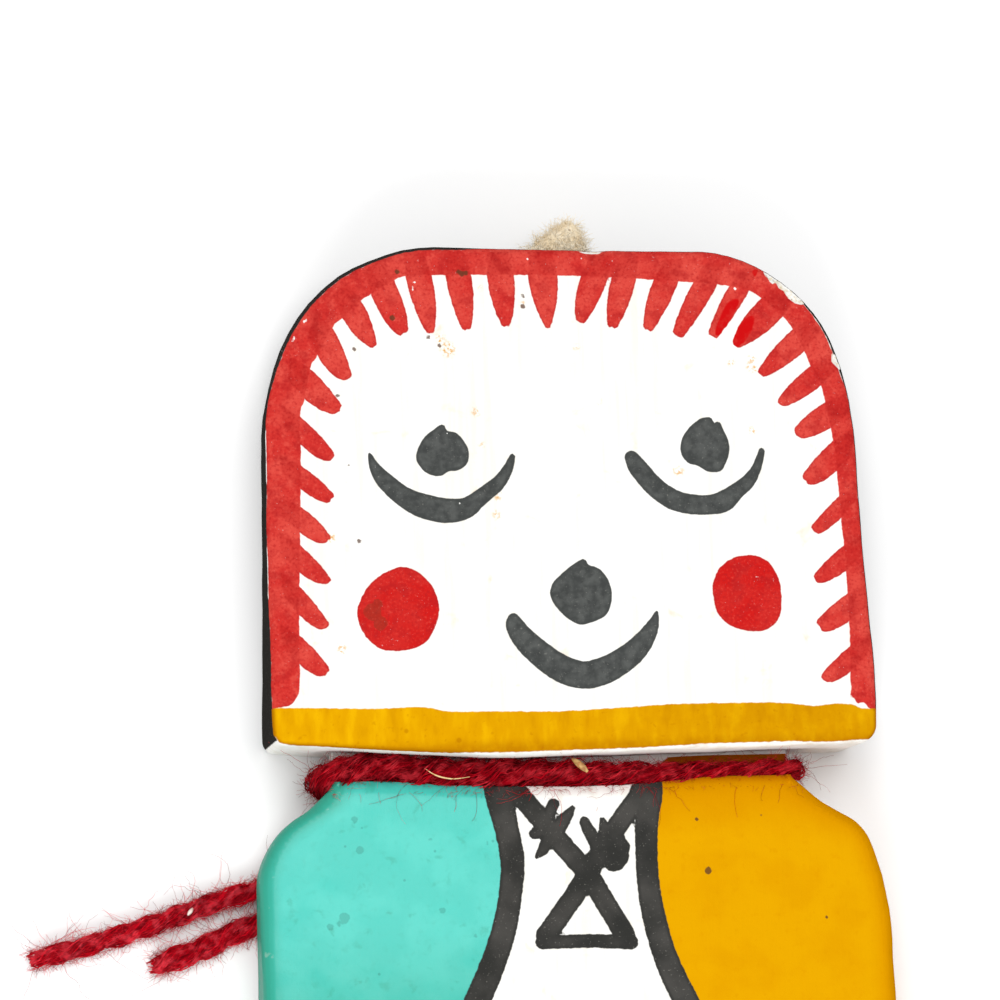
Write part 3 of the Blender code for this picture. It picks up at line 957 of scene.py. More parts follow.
@dataclass(frozen=True)
class BodyPaint:
    """What is painted on the body. Places are millimetres on the doll."""

    blue_edge: Knots = (
        (-10.4, 26.0), (-10.6, 23.6), (-9.6, 20.4), (-8.9, 17.0), (-9.0, 13.6), (-9.6, 9.1), (-10.9, 4.0),
        (-12.9, -0.6), (-16.6, -7.0), (-22.0, -13.2), (-28.0, -18.0), (-39.0, -23.4),
    )
    yellow_edge: Knots = (
        (14.2, 27.2), (12.6, 26.4), (10.9, 25.2), (10.3, 23.2), (9.6, 20.9), (9.3, 17.2), (9.4, 13.2),
        (9.8, 8.6), (10.8, 4.4),
        (12.6, 0.0), (16.4, -7.2), (21.8, -13.6), (28.0, -18.6), (39.0, -24.0),
    )
    strokes: tuple[Knots, ...] = (
        (
            (-8.6, 26.5, 1.6), (-8.9, 22.6, 1.7), (-8.2, 18.6, 1.42), (-7.55, 14.7, 1.4),
            (-7.85, 11.0, 1.35), (-8.6, 7.2, 1.42), (-9.9, 3.4, 1.45), (-11.8, -0.8, 1.5),
            (-15.5, -7.6, 1.5), (-21.0, -14.0, 1.5), (-27.3, -19.0, 1.5), (-40.0, -25.2, 1.5),
        ),
        (
            (8.8, 27.5, 1.3), (8.7, 22.6, 1.5), (8.15, 18.8, 1.38), (8.0, 15.6, 1.3), (8.05, 12.1, 1.3),
            (8.5, 8.3, 1.35), (9.5, 4.1, 1.38), (11.2, -0.2, 1.45), (15.3, -7.9, 1.5), (20.8, -14.4, 1.5),
            (27.3, -19.7, 1.5), (40.0, -25.9, 1.5),
        ),
        ((-7.8, 24.2, 1.5), (-6.4, 22.0, 1.25), (-3.6, 18.5, 1.2), (-0.6, 14.9, 1.2), (1.1, 12.9, 1.2),
         (3.0, 9.6, 1.2), (5.2, 5.8, 1.2)),
        ((8.8, 24.6, 1.4), (7.4, 21.8, 1.2), (5.2, 18.9, 1.2), (2.6, 15.2, 1.2), (1.1, 12.9, 1.2),
         (-0.6, 10.3, 1.2), (-3.9, 6.0, 1.2)),
        ((-4.4, 5.15, 0.8), (1.0, 5.2, 0.78), (5.9, 4.95, 0.84)),
        ((-3.6, 19.0, 0.75), (-2.6, 20.9, 0.7)),
        ((-2.4, 17.9, 0.95), (-1.3, 19.2, 0.75), (-0.3, 20.5, 0.3)),
        ((-3.4, 17.9, 0.7), (-5.0, 17.5, 0.62)),
        ((-3.2, 17.0, 0.9), (-4.0, 15.7, 0.65), (-4.7, 14.9, 0.28)),
        ((2.5, 15.8, 0.85), (1.6, 17.4, 0.78), (0.9, 18.8, 0.62)),
        ((3.4, 17.4, 0.9), (3.0, 19.0, 0.35)),
        ((4.0, 17.6, 1.2), (4.4, 15.2, 1.6), (4.2, 14.4, 1.4)),
        ((4.6, 16.4, 0.9), (5.6, 15.9, 0.55)),
        ((4.4, 15.0, 1.2), (4.9, 14.3, 0.85)),
    )
    blue_specks: Knots = (
        (-25.5, 19.6, 0.36), (-32.0, 18.9, 0.3), (-25.0, 16.1, 0.44), (-15.7, 9.1, 0.34), (-26.9, 8.5, 0.6),
        (-28.6, 7.5, 0.36), (-27.6, 7.8, 0.3), (-10.4, 16.6, 0.2), (-12.0, 6.1, 0.2), (-16.9, 17.1, 0.18),
        (14.0, 18.8, 0.2), (28.7, 7.2, 0.17), (15.1, 12.9, 0.4),
    )
    hem_height: float = -78.0
    hem_width: float = 5.5
    stripe_places: tuple[float, ...] = (-24.0, -12.4, 0.4, 12.8, 24.6)
    stripe_width: float = 2.4
    stripe_foot: float = -66.0
    stripe_length: float = 21.0
    overlap: float = 0.4
    side_depth: float = 0.4
    outside: float = 60.0
    over_neck: float = 40.0
    side_reach: float = 1.9
    stripe_reach: float = 0.5
    speck_reach: float = 0.3
    side_foot: float = 1.2
    hollow_roof: float = 6.0
    outer: float = 30.0

    def layers(self, places: Array, past_edge: Array, inset: Array) -> dict[Layer, Array]:
        """Work out the paint on the neck and body.

        Args:
            places: The doll's points.
            past_edge: How far each lies over the board's front edge.
            inset: How far each lies inside the body's outline.

        Returns:
            The depth of each point in each layer.
        """
        x, y, z = places.T
        plane = places[:, :2]
        outside_hollow = np.maximum(self.side_depth - inset, z - self.hollow_roof)
        above_back = np.minimum(z - self.side_foot, outside_hollow)
        hem = self.hem_width / 2 - np.abs(y - self.hem_height)
        stripes = in_strokes([self.stripe(place) for place in self.stripe_places], plane, 5)
        strokes = in_strokes(self.strokes, plane)
        on_side = np.where(np.abs(x) > self.outer, above_back, self.side_reach - past_edge)
        return {
            Layer.BODY_BLUE: np.minimum(self.beside(self.blue_edge, plane), above_back),
            Layer.BODY_YELLOW: np.minimum(np.maximum(self.beside(self.yellow_edge, plane), hem), above_back),
            Layer.BODY_BLACK: np.minimum(strokes, on_side),
            Layer.RED_STROKES: np.minimum(stripes, self.stripe_reach - past_edge),
            Layer.DARK_SPECKS: np.minimum(in_spots(self.blue_specks, plane), self.speck_reach - past_edge),
        }

    def beside(self, edge: Knots, plane: Array) -> Array:
        """Measure how deep places lie between an edge and the doll's side.

        Args:
            edge: Knots of the edge, from the neck down to the side.
            plane: The doll's points from the front.

        Returns:
            The depth of each point.
        """
        side = math.copysign(self.outside, edge[-1][0])
        corners = [(side, edge[-1][1]), (side, self.over_neck), (edge[0][0], self.over_neck)]
        return depth_in_loop(np.vstack([smooth_points(edge, False, 5), corners]), plane) + self.overlap

    def stripe(self, place: float) -> Knots:
        """Draw the middle line of one of the plain stripes on the skirt, at a place across the doll."""
        foot, length, half = self.stripe_foot, self.stripe_length, self.stripe_width / 2
        middle = (place + 0.3, foot + length / 2, half * 1.05)
        return (place, foot, half), middle, (place + 0.1, foot + length, half * 0.8)


@dataclass(frozen=True)
class CarvedDoll:
    """Head, neck and body, carved from one board and painted. Sizes are millimetres."""

    head: Board = Board(
        "head_board",
        (
            (-34.8, 28.0, 1.6), (-8.0, 26.3, 80.0), (34.95, 27.0, 2.2), (35.1, 34.0, 60.0),
            (34.0, 58.0, 90.0), (33.55, 69.1, 31.0), (27.1, 84.65, 16.3), (-22.2, 85.75, 18.2),
            (-35.05, 74.3, 20.0), (-35.15, 49.0, 150.0),
        ),
        15.0,
        0.9,
    )
    body: Board = Board(
        "body_board",
        (
            (-27.6, 32.0, 0.0), (-27.6, 22.7, 2.0), (-36.35, 17.2, 8.9), (-36.35, -35.0, 60.0),
            (-35.2, -90.0, 9.0), (35.4, -90.0, 9.0), (36.95, -35.0, 60.0), (36.65, 10.1, 30.0),
            (33.75, 17.8, 5.0), (25.4, 22.85, 1.0), (25.4, 32.0, 0.0),
        ),
        12.0,
        1.5,
    )
    neck_groove: CrossCut = CrossCut("neck_groove", ((23.3, 8.2), (40.0, 8.2), (40.0, 20.0), (22.4, 20.0)))
    back_hollow: CrossCut = CrossCut(
        "back_hollow",
        ((40.0, 3.8), (12.0, 3.68), (7.5, 3.35), (3.0, 2.7), (-13.0, -0.4), (-13.0, -6.0), (40.0, -6.0)),
    )
    head_grid: Grid = Grid(0.3, -34.8, 34.9, 26.6, 84.9)
    shoulder_grid: Grid = Grid(0.4, -36.7, 36.7, -8.0, 26.0)
    skirt_grid: Grid = Grid(1.0, -36.5, 36.5, -89.5, -8.0)
    back_grid: Grid = Grid(2.0, -36.0, 36.0, -89.0, 84.0)
    lean_heights: tuple[float, ...] = (30.0, 43.0, 50.0, 68.0)
    left_lean: tuple[float, ...] = (-0.5, 0.05, 0.42, 0.55)
    lean_start: float = 26.0
    lean_full: float = 33.0
    dent_place: tuple[float, float] = (3.5, 85.5)
    dent_size: Place = (2.6, 1.9, 0.55)
    dent_foot: float = 9.0
    groove_places: tuple[float, ...] = (-24.0, -20.0, -14.0, -8.0, 6.0, 17.0)
    groove_bend: tuple[float, ...] = (0.95, 0.8, 0.25, 0.0, 0.0, 0.75)
    neck_edge: float = 23.05
    neck_easing: float = 1.9
    neck_drop: float = 0.9
    stain_and_red_light_height: float = 24.4
    stain_and_red_light_reach: float = 4.0
    chip_depth: float = 0.22
    foot_height: float = 0.4
    smooth_angle: float = 40.0
    side_levels: tuple[float, ...] = (2.5, 5.0, 7.5, 10.0, 12.5)
    chin_line: float = 26.25
    skirt_line: float = -8.0
    face_paint: FacePaint = FacePaint()
    body_paint: BodyPaint = BodyPaint()

    def build(self) -> None:
        """Carve, paint and dress the doll."""
        doll = self.head.saw()
        body = self.body.saw()
        cut_away(body, self.neck_groove.solid(), "DIFFERENCE")
        cut_away(body, self.back_hollow.solid(), "DIFFERENCE")
        cut_away(doll, body, "UNION")
        doll.name = "painted_doll"
        doll.data.name = "painted_doll"
        self.grid(doll)
        self.paint(doll)
        self.carve(doll)
        self.roughen(doll)
        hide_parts("carved_doll")
        finish_piece(doll, PaintedWood().mixed())

    def grid(self, doll: Piece) -> None:
        """Cut the board's faces finely enough to carry its paint.

        Args:
            doll: The carved board.
        """
        shape = bmesh.new()
        shape.from_mesh(doll.data)
        lines = [(Vector((0.0, 0.0, 1.0)), level * MM) for level in self.side_levels]
        lines += [(Vector((0.0, 1.0, 0.0)), line * MM) for line in (self.skirt_line, self.chin_line)]
        for normal, place in lines:
            whole = [*shape.verts, *shape.edges, *shape.faces]
            bmesh.ops.bisect_plane(shape, geom=whole, dist=1e-7, plane_co=normal * place, plane_no=normal)
        chin = self.chin_line * MM
        skirt = self.skirt_line * MM
        zones = (
            (self.back_grid, lambda middle, normal: normal.z < -0.5),
            (self.skirt_grid, lambda middle, normal: normal.z > -0.5 and middle.y < skirt),
            (self.shoulder_grid, lambda middle, normal: normal.z > -0.5 and skirt < middle.y < chin),
            (self.head_grid, lambda middle, normal: normal.z > -0.5 and middle.y > chin),
        )
        for axis in (0, 1):
            for grid, wanted in zones:
                grid.cut(shape, axis, wanted)
        shape.to_mesh(doll.data)
        shape.free()

    def paint(self, doll: Piece) -> None:
        """Keep on every point how deep it lies inside each layer of paint and wear.

        Args:
            doll: The doll, before it is given its unevenness.
        """
        mesh = doll.data
        places = np.empty(len(mesh.vertices) * 3)
        mesh.vertices.foreach_get("co", places)
        places = places.reshape(-1, 3) / MM
        on_head = places[:, 1] > self.chin_line
        past_edge = self.past_edge(places, on_head)
        inset = depth_in_loop(board_outline(self.body.corners), places[:, :2])
        depths = self.face_paint.layers(places, past_edge)
        depths = {layer: np.where(on_head, depth, -REACH) for layer, depth in depths.items()}
        for layer, depth in self.body_paint.layers(places, past_edge, inset).items():
            depths[layer] = np.where(on_head, depths.get(layer, -REACH), depth)
        depths[Layer.PAST_EDGE] = past_edge
        # Red tint round the neck, weaker away from the yarn and on the raised front: partly dye, partly
        # painted red light from the yarn
        from_neck = np.abs(places[:, 1] - self.stain_and_red_light_height)
        above = np.maximum(places[:, 2] - 10.0, 0.0)
        depths[Layer.NECK_STAIN] = self.stain_and_red_light_reach - from_neck - 0.25 * above
        for layer, depth in depths.items():
            attribute = mesh.attributes.new(layer.value, "FLOAT", "POINT")
            attribute.data.foreach_set("value", depth.astype(np.float32))

    def past_edge(self, places: Array, on_head: Array) -> Array:
        """Measure how far each place lies over the board's rounded front edge and down its side.

        Args:
            places: The doll's points, in millimetres.
            on_head: Whether each of them belongs to the head.

        Returns:
            The distance along the surface from where the rounding starts, negative on the flat front.
        """
        result = np.empty(len(places))
        for board, chosen in ((self.head, on_head), (self.body, ~on_head)):
            drop = board.thickness - places[chosen, 2]
            angle = np.arccos(np.clip(1.0 - drop / board.rounding, 0.0, 1.0))
            below = np.maximum(drop - board.rounding, 0.0)
            inset = depth_in_loop(board_outline(board.corners), places[chosen, :2]) - board.rounding
            on_front = drop < 0.01
            result[chosen] = np.where(on_front, -np.maximum(inset, 0.0), board.rounding * angle + below)
        return result

    def carve(self, doll: Piece) -> None:
        """Sink the chips, lean the head's left side, dent its top and bend the groove's lower edge.

        Args:
            doll: The painted doll.
        """
        mesh = doll.data
        count = len(mesh.vertices)
        places = np.empty(count * 3)
        normals = np.empty(count * 3)
        chips = np.empty(count)
        mesh.vertices.foreach_get("co", places)
        mesh.vertices.foreach_get("normal", normals)
        mesh.attributes[Layer.CHIPS.value].data.foreach_get("value", chips)
        places = places.reshape(-1, 3)
        sink = self.chip_depth * MM * ease(chips, -0.05, 0.35)
        places -= normals.reshape(-1, 3) * sink[:, None]
        x, y, z = places.T / MM
        on_left = ease(-x, self.lean_start, self.lean_full) * (y > self.chin_line)
        lean = np.interp(y, self.lean_heights, self.left_lean) * on_left
        wide, tall, deep = self.dent_size
        dent = 1.0 - np.hypot((x - self.dent_place[0]) / wide, (y - self.dent_place[1]) / tall)
        at_neck = (z > self.body.thickness - 0.2) & (y < self.neck_edge)
        round_off = np.clip((y - self.neck_edge + self.neck_easing) / self.neck_easing, 0.0, 1.0)
        by_groove = ease(y, 20.5, 22.8) * ease(y, 26.4, 23.4) * (z > 8.0)
        places[:, 0] += lean * MM * (1.0 - z / self.head.thickness)
        places[:, 1] += by_groove * MM * np.interp(x, self.groove_places, self.groove_bend)
        places[:, 2] -= np.where(at_neck, self.neck_drop * MM * round_off**2, 0.0)
        places[:, 2] -= deep * MM * ease(dent, 0.0, 1.0) * (z > self.dent_foot)
        mesh.vertices.foreach_set("co", places.ravel())

    def roughen(self, doll: Piece) -> None:
        """Give all but the flat back the unevenness of carving by hand.

        Args:
            doll: The carved doll.
        """
        heights = np.array([point.co.z for point in doll.data.vertices])
        off_table = doll.vertex_groups.new(name="off_the_table")
        raised = np.nonzero(heights > self.foot_height * MM)[0]
        off_table.add([int(index) for index in raised], 1.0, "REPLACE")
        ruffle(doll, "long_waves", 14.0, 0.45, 1, off_table.name)
        ruffle(doll, "knife_marks", 4.0, 0.12, 1, off_table.name)
        bpy.ops.object.shade_smooth_by_angle(angle=math.radians(self.smooth_angle))


def board_outline(corners: Knots) -> Array:
    """Turn corners, each with the radius that rounds it, into the points of a closed outline.

    Args:
        corners: x, y and radius of each corner, in millimetres.

    Returns:
        The points of the outline.
    """
    points = []
    for index, (x, y, radius) in enumerate(corners):
        corner = Vector((x, y))
        before = (Vector(corners[index - 1][:2]) - corner).normalized()
        after = (Vector(corners[(index + 1) % len(corners)][:2]) - corner).normalized()
        half_angle = before.angle(after) / 2
        centre = corner + (before + after).normalized() * (radius / math.sin(half_angle))
        start = corner + before * (radius / math.tan(half_angle)) - centre
        end = corner + after * (radius / math.tan(half_angle)) - centre
        turn = -start.angle_signed(end) if radius else 0.0
        steps = max(1, round(abs(math.degrees(turn)) / ARC_STEP))
        for step in range(steps + 1):
            point = centre + Matrix.Rotation(turn * step / steps, 2) @ start
            points.append((point.x, point.y))
    return np.array(points)


@dataclass(frozen=True)
class Coat:
    """One coat on the wood: where it lies, its paint, and its roughness where that changes."""

    cover: Socket
    paint: Paint
    roughness: float | None = None
    kind: str = "MIX"


class PaintedWood(NodeSheet):
    """Matt paint on a white ground over carved cottonwood root."""

    white: Colour = screen(231, 230, 226)
    cream: Colour = screen(217, 213, 201)
    tan: Colour = screen(206, 158, 92)
    bare_wood: Colour = screen(205, 184, 142)
    red: Colour = screen(186, 46, 41)
    pale_red: Colour = screen(206, 80, 68)
    deep_red: Colour = screen(158, 28, 30)
    cheek_red: Colour = screen(184, 26, 24)
    wet_red: Colour = screen(183, 14, 16)
    black: Colour = screen(60, 62, 61)
    pale_black: Colour = screen(88, 90, 88)
    edge_black: Colour = screen(42, 40, 38)
    body_black: Colour = screen(46, 46, 44)
    body_pale_black: Colour = screen(76, 74, 71)
    chin_yellow: Colour = screen(202, 145, 2)
    chin_light: Colour = screen(213, 160, 4)
    chin_dark: Colour = screen(160, 98, 2)
    body_yellow: Colour = screen(205, 148, 2)
    body_ochre: Colour = screen(192, 127, 0)
    orange: Colour = screen(150, 66, 2)
    blue: Colour = screen(64, 180, 167)
    pale_blue: Colour = screen(78, 190, 177)
    deep_blue: Colour = screen(46, 144, 122)
    speck_blue: Colour = screen(28, 112, 100)
    speck_brown: Colour = screen(84, 52, 34)
    # Pink laid over the paint round the neck: partly the wool's dye, partly painted red light thrown by the
    # yarn
    wool_stain_and_red_light: Colour = screen(205, 84, 90)
    second_red: Colour = (0.82, 0.56, 0.6)
    blue_gloss: float = 0.3
    blue_gloss_roughness: float = 0.2

    def __init__(self) -> None:
        """Start the material and the clouds that all its paints share."""
        super().__init__("painted_wood", shine=0.0)
        self.ragged = self.times(self.sum("SUBTRACT", self.noise(1.5, 2.0), 0.5), 0.24)
        self.cloudy = self.noise(0.22, 3.0)
        self.mottle = self.noise(1.1, 4.0)
        self.past_edge = self.layer(Layer.PAST_EDGE)

    def cover(
        self, layer: Layer, softness: float = 0.07, raggedness: float = 1.0, spread: float = 0.0
    ) -> Socket:
        """Give 1 where a layer covers and 0 elsewhere. Softness and spread are millimetres at its edge."""
        depth = self.plus(self.layer(layer), self.times(self.ragged, raggedness))
        return self.share(depth, -softness - spread, softness - spread)

    def mixed(self) -> Material:
        """Mix the paints and lay them over one another.

        Returns:
            The material.
        """
        colour = self.ground()
        rough = self.share(self.mottle, 0.2, 0.8, (0.55, 0.66))
        for coat in (*self.body_coats(), *self.head_coats(), *self.wear()):
            colour = self.blend(coat.cover, colour, coat.paint, coat.kind)
            if coat.roughness is not None:
                rough = self.mix(coat.cover, rough, coat.roughness)
        self.feed(self.shader.inputs["Roughness"], rough)
        bare_blue = self.sum("SUBTRACT", self.cover(Layer.BODY_BLUE), self.cover(Layer.BODY_BLACK))
        self.feed(self.shader.inputs["Coat Weight"], self.times(bare_blue, self.blue_gloss))
        self.shader.inputs["Coat Roughness"].default_value = self.blue_gloss_roughness
        brushing = self.noise(2.4, 3.0, self.stretch((1.0, 0.12, 1.0)))
        height = self.plus(self.times(self.noise(0.5, 4.0), 0.6), self.times(brushing, 0.25))
        height = self.plus(height, self.times(self.noise(5.0, 2.0), 0.12))
        return self.dress(colour, height, 0.16)

    def ground(self) -> Socket:
        """Mix the white ground, with its faint streaks and its tan stains.

        Returns:
            The colour.
        """
        grain = self.noise(0.9, 3.0, self.stretch((1.0, 0.06, 1.0)))
        stained = self.cover(Layer.TAN_STAINS, 0.42, 2.4)
        return self.veiled(
            self.white,
            Veil(self.cream, grain, 0.42, 0.72, 0.6),
            Veil(self.tan, self.noise(0.35, 5.0, None, 0.6), 0.6, 0.8, 0.3),
            Veil(self.tan, self.noise(2.6, 4.0), 0.42, 0.62, 1.0, stained),
        )

    def body_coats(self) -> list[Coat]:
        """Lay out the body's paint and the black of the head's sides, from the ground up.

        Returns:
            The coats.
        """
        contours = self.black_paint(Layer.BODY_BLACK, self.body_black, self.body_pale_black, self.cloudy)
        sides = self.black_paint(Layer.EDGE_BLACK, self.edge_black, self.body_black, self.mottle)
        return [
            Coat(self.cover(Layer.BODY_YELLOW), self.yellow_paint(), 0.5),
            Coat(self.cover(Layer.BODY_BLUE), self.blue_paint(), 0.34),
            Coat(self.cover(Layer.BODY_BLACK), contours, 0.45),
            Coat(self.cover(Layer.EDGE_BLACK), sides, 0.5),
        ]

    def head_coats(self) -> list[Coat]:
        """Lay out the head's reds, its yellow chin and its black marks.

        Returns:
            The coats.
        """
        strokes = self.cover(Layer.RED_STROKES)
        crossing = self.cover(Layer.RED_STROKES, 0.175, spread=-0.075)
        crossing = self.times(crossing, self.cover(Layer.RED_BAND, 0.1, spread=-0.05))
        crossing = self.times(crossing, self.share(self.mottle, 0.3, 0.7, (0.45, 0.95)))
        wet = self.times(self.cover(Layer.WET_RED, 0.12), strokes)
        wet = self.times(wet, self.share(self.mottle, 0.3, 0.55, (0.7, 1.0)))
        marks = self.black_paint(Layer.FACE_BLACK, self.black, self.pale_black, self.mottle)
        return [
            Coat(self.cover(Layer.CHEEKS), self.red_paint(Layer.CHEEKS), 0.55),
            Coat(strokes, self.red_paint(Layer.RED_STROKES), 0.52),
            Coat(self.cover(Layer.RED_BAND), self.red_paint(Layer.RED_BAND), 0.55),
            Coat(crossing, self.second_red, None, "MULTIPLY"),
            Coat(wet, self.wet_red, 0.3),
            Coat(self.cover(Layer.CHIN_YELLOW), self.chin_paint(), 0.36),
            Coat(self.cover(Layer.FACE_BLACK, 0.06, 0.6), marks, 0.5),
        ]

    def wear(self) -> list[Coat]:
        """Lay out the chips, bare dots and specks, the red round the neck (dye and painted red light), and
        the dirt.

        Returns:
            The coats.
        """
        chipped = self.veiled(
            self.white,
            Veil(self.bare_wood, self.noise(2.2, 4.0), 0.42, 0.72, 0.8),
            Veil(self.speck_brown, self.noise(1.6, 5.0), 0.62, 0.7, 0.7),
        )
        on_blue = self.cover(Layer.BODY_BLUE)
        strength = self.mix(self.cover(Layer.CHEEKS), self.mix(on_blue, 0.85, 0.4), 0.36)
        specks = self.times(self.cover(Layer.DARK_SPECKS, 0.07, 1.5, 0.05), strength)
        # Red round the neck, in mottled patches: partly dye off the wool, partly painted red light thrown by
        # the yarn
        neck_dye_and_painted_light = self.share(self.layer(Layer.NECK_STAIN), 0.6, 3.6, (0.0, 0.45))
        return [
            Coat(self.cover(Layer.CHIPS, 0.08), chipped),
            Coat(self.cover(Layer.BARE_DOTS, 0.05, 0.5), self.white),
            Coat(specks, self.blend(on_blue, self.speck_brown, self.speck_blue)),
            Coat(self.times(neck_dye_and_painted_light, self.mottle), self.wool_stain_and_red_light, None, "MULTIPLY"),
            Coat(self.times(self.dots(0.16, 0.03, 0.14, 3.7), 0.6), self.speck_brown),
        ]

    def red_paint(self, layer: Layer) -> Socket:
        """Mix the thin red, darker where it pooled at a stroke's edge.

        Args:
            layer: Layer that the red is for.

        Returns:
            The colour.
        """
        red, pale = (self.cheek_red, self.red) if layer is Layer.CHEEKS else (self.red, self.pale_red)
        pooled = 0.0 if layer is Layer.RED_BAND else 0.5
        fine = self.noise(3.2, 4.0)
        return self.veiled(
            red,
            Veil(pale, self.cloudy, 0.4, 0.62, 0.5),
            Veil(pale, self.mottle, 0.5, 0.7, 0.45),
            Veil(self.deep_red, self.noise(0.6, 4.0), 0.48, 0.66, 0.5),
            Veil(self.deep_red, fine, 0.52, 0.3, 0.55),
            Veil(self.pale_red, fine, 0.55, 0.75, 0.4),
            Veil(self.deep_red, self.layer(layer), 0.28, 0.06, pooled),
            Veil(self.white, self.noise(4.5, 3.0), 0.68, 0.78, 0.3),
        )

    def black_paint(self, layer: Layer, deep: Colour, pale: Colour, clouds: Socket) -> Socket:
        """Mix a black that is a little paler inside than at its edge.

        Args:
            layer: Layer that the black is for.
            deep: Its darkest colour.
            pale: Its worn colour.
            clouds: Clouds of wear.

        Returns:
            The colour.
        """
        inner = self.share(self.layer(layer), 0.1, 0.5, (0.15, 0.7))
        return self.veiled(
            deep,
            Veil(pale, clouds, 0.3, 0.75, 1.0, inner),
            Veil(self.cream, self.noise(4.0, 5.0), 0.62, 0.74, 0.13),
        )

    def chin_paint(self) -> Socket:
        """Mix the yellow of the chin band, streaked by an upright brush.

        Returns:
            The colour.
        """
        strokes = self.noise(0.7, 4.0, self.stretch((1.0, 0.3, 0.3)))
        patchy = self.share(self.mottle, 0.2, 0.6, (0.5, 1.0))
        faint_patches = self.share(self.mottle, 0.3, 0.6, (0.6, 1.0))
        colour = self.veiled(
            self.chin_yellow,
            Veil(self.chin_light, strokes, 0.45, 0.7),
            Veil(self.chin_dark, strokes, 0.46, 0.3, 0.22),
            # Darker towards the chin's lower edge and over the rounded edge below it: painted shade
            Veil(self.chin_dark, self.height, 28.6, 26.9, 0.7, patchy),
            Veil(self.chin_dark, self.past_edge, 0.3, 1.0, 0.9),
            Veil(self.chin_dark, self.across, -30.0, 34.0, 0.36, faint_patches),
            Veil(self.chin_dark, self.noise(1.4, 5.0), 0.6, 0.72, 0.3),
        )
        return self.blend(self.times(self.dots(0.35, 0.14, 0.3, 8.3), 0.5), colour, self.chin_dark)

    def yellow_paint(self) -> Socket:
        """Mix the yellow of the body's right side.

        Returns:
            The colour.
        """
        return self.veiled(
            self.body_yellow,
            Veil(self.body_ochre, self.cloudy, 0.4, 0.7, 0.3),
            Veil(self.body_ochre, self.mottle, 0.55, 0.8, 0.3),
            # Darker towards the neck and over the rounded edge: painted shade under the head and yarn, and
            # on the rim
            Veil(self.body_ochre, self.height, 16.0, 23.0, 0.8),
            Veil(self.body_ochre, self.past_edge, -2.0, 1.6, 0.9),
            # Orange at the neck: partly painted shade under the yarn, partly red dye
            Veil(self.orange, self.height, 22.6, 24.5, 0.8),
        )

    def blue_paint(self) -> Socket:
        """Mix the turquoise of the body's left side.

        Returns:
            The colour.
        """
        colour = self.veiled(
            self.blue,
            Veil(self.pale_blue, self.cloudy, 0.4, 0.68, 0.6),
            Veil(self.deep_blue, self.height, 9.0, -4.0, 0.4),
            Veil(self.deep_blue, self.mottle, 0.5, 0.85, 0.22),
        )
        colour = self.blend(self.times(self.dots(0.6, 0.13, 0.3, 5.0), 0.4), colour, self.speck_blue)
        rubbed_edge = self.share(self.past_edge, -1.2, 1.4, (0.0, 0.95))
        return self.veiled(
            colour,
            Veil(self.deep_blue, self.noise(0.5, 6.0, None, 0.4), 0.6, 0.72, 0.4),
            # Darker over the rounded edge: partly thicker paint, partly painted shade on the side
            Veil(self.deep_blue, self.past_edge, -1.2, 1.4, 0.95),
            Veil(self.cream, self.noise(0.8, 4.0), 0.66, 0.74, 0.18, rubbed_edge),
        )


# Wool and cotton


class YarnLine:
    """The middle line of a yarn, with a frame across it that doesn't twist. Sizes are millimetres."""

    def __init__(self, knots: Knots, closed: bool, spacing: float = 0.4) -> None:
        """Lay the line through its knots.

        Args:
            knots: Places that the yarn goes through.
            closed: Whether it returns to its first knot.
            spacing: Distance between the points that it is read at.
        """
        self.closed = closed
        self.points = even_points(knots, closed, spacing)
        ring = np.vstack([self.points, self.points[0]]) if closed else self.points
        self.travelled = np.concatenate([[0.0], np.cumsum(np.linalg.norm(np.diff(ring, axis=0), axis=1))])
        self.length = float(self.travelled[-1])
        if closed:
            ahead = np.roll(self.points, -1, axis=0) - np.roll(self.points, 1, axis=0)
        else:
            ahead = np.gradient(self.points, axis=0)
        self.ahead = ahead / np.linalg.norm(ahead, axis=1)[:, None]
        self.side = self.untwisted_sides()
        self.up = np.cross(self.ahead, self.side)

    def untwisted_sides(self) -> Array:
        """Carry one sideways direction along the line without twisting it.

        Returns:
            The direction at each point.
        """
        side = np.cross(self.ahead[0], (0.0, 0.3, 1.0))
        sides = []
        for direction in self.ahead:
            side = side - direction * np.dot(side, direction)
            side = side / np.linalg.norm(side)
            sides.append(side)
        sides = np.array(sides)
        if self.closed:
            last = sides[-1] - self.ahead[0] * np.dot(sides[-1], self.ahead[0])
            gap = math.atan2(np.dot(np.cross(last, sides[0]), self.ahead[0]), np.dot(last, sides[0]))
            turns = gap * np.arange(len(sides)) / len(sides)
            across = np.cross(self.ahead, sides)
            sides = sides * np.cos(turns)[:, None] + across * np.sin(turns)[:, None]
        return sides

    def read(self, along: Array) -> tuple[Array, Array, Array, Array]:
        """Read the line and its frame at distances along it.

        Args:
            along: Distances from the line's start.

        Returns:
            Points, directions ahead, directions sideways and directions up.
        """
        line = (self.points, self.ahead, self.side, self.up)
        if self.closed:
            along = np.mod(along, self.length)
            line = [np.vstack([values, values[0]]) for values in line]
        axes = ([np.interp(along, self.travelled, column) for column in values.T] for values in line)
        return tuple(np.stack(columns, axis=1) for columns in axes)


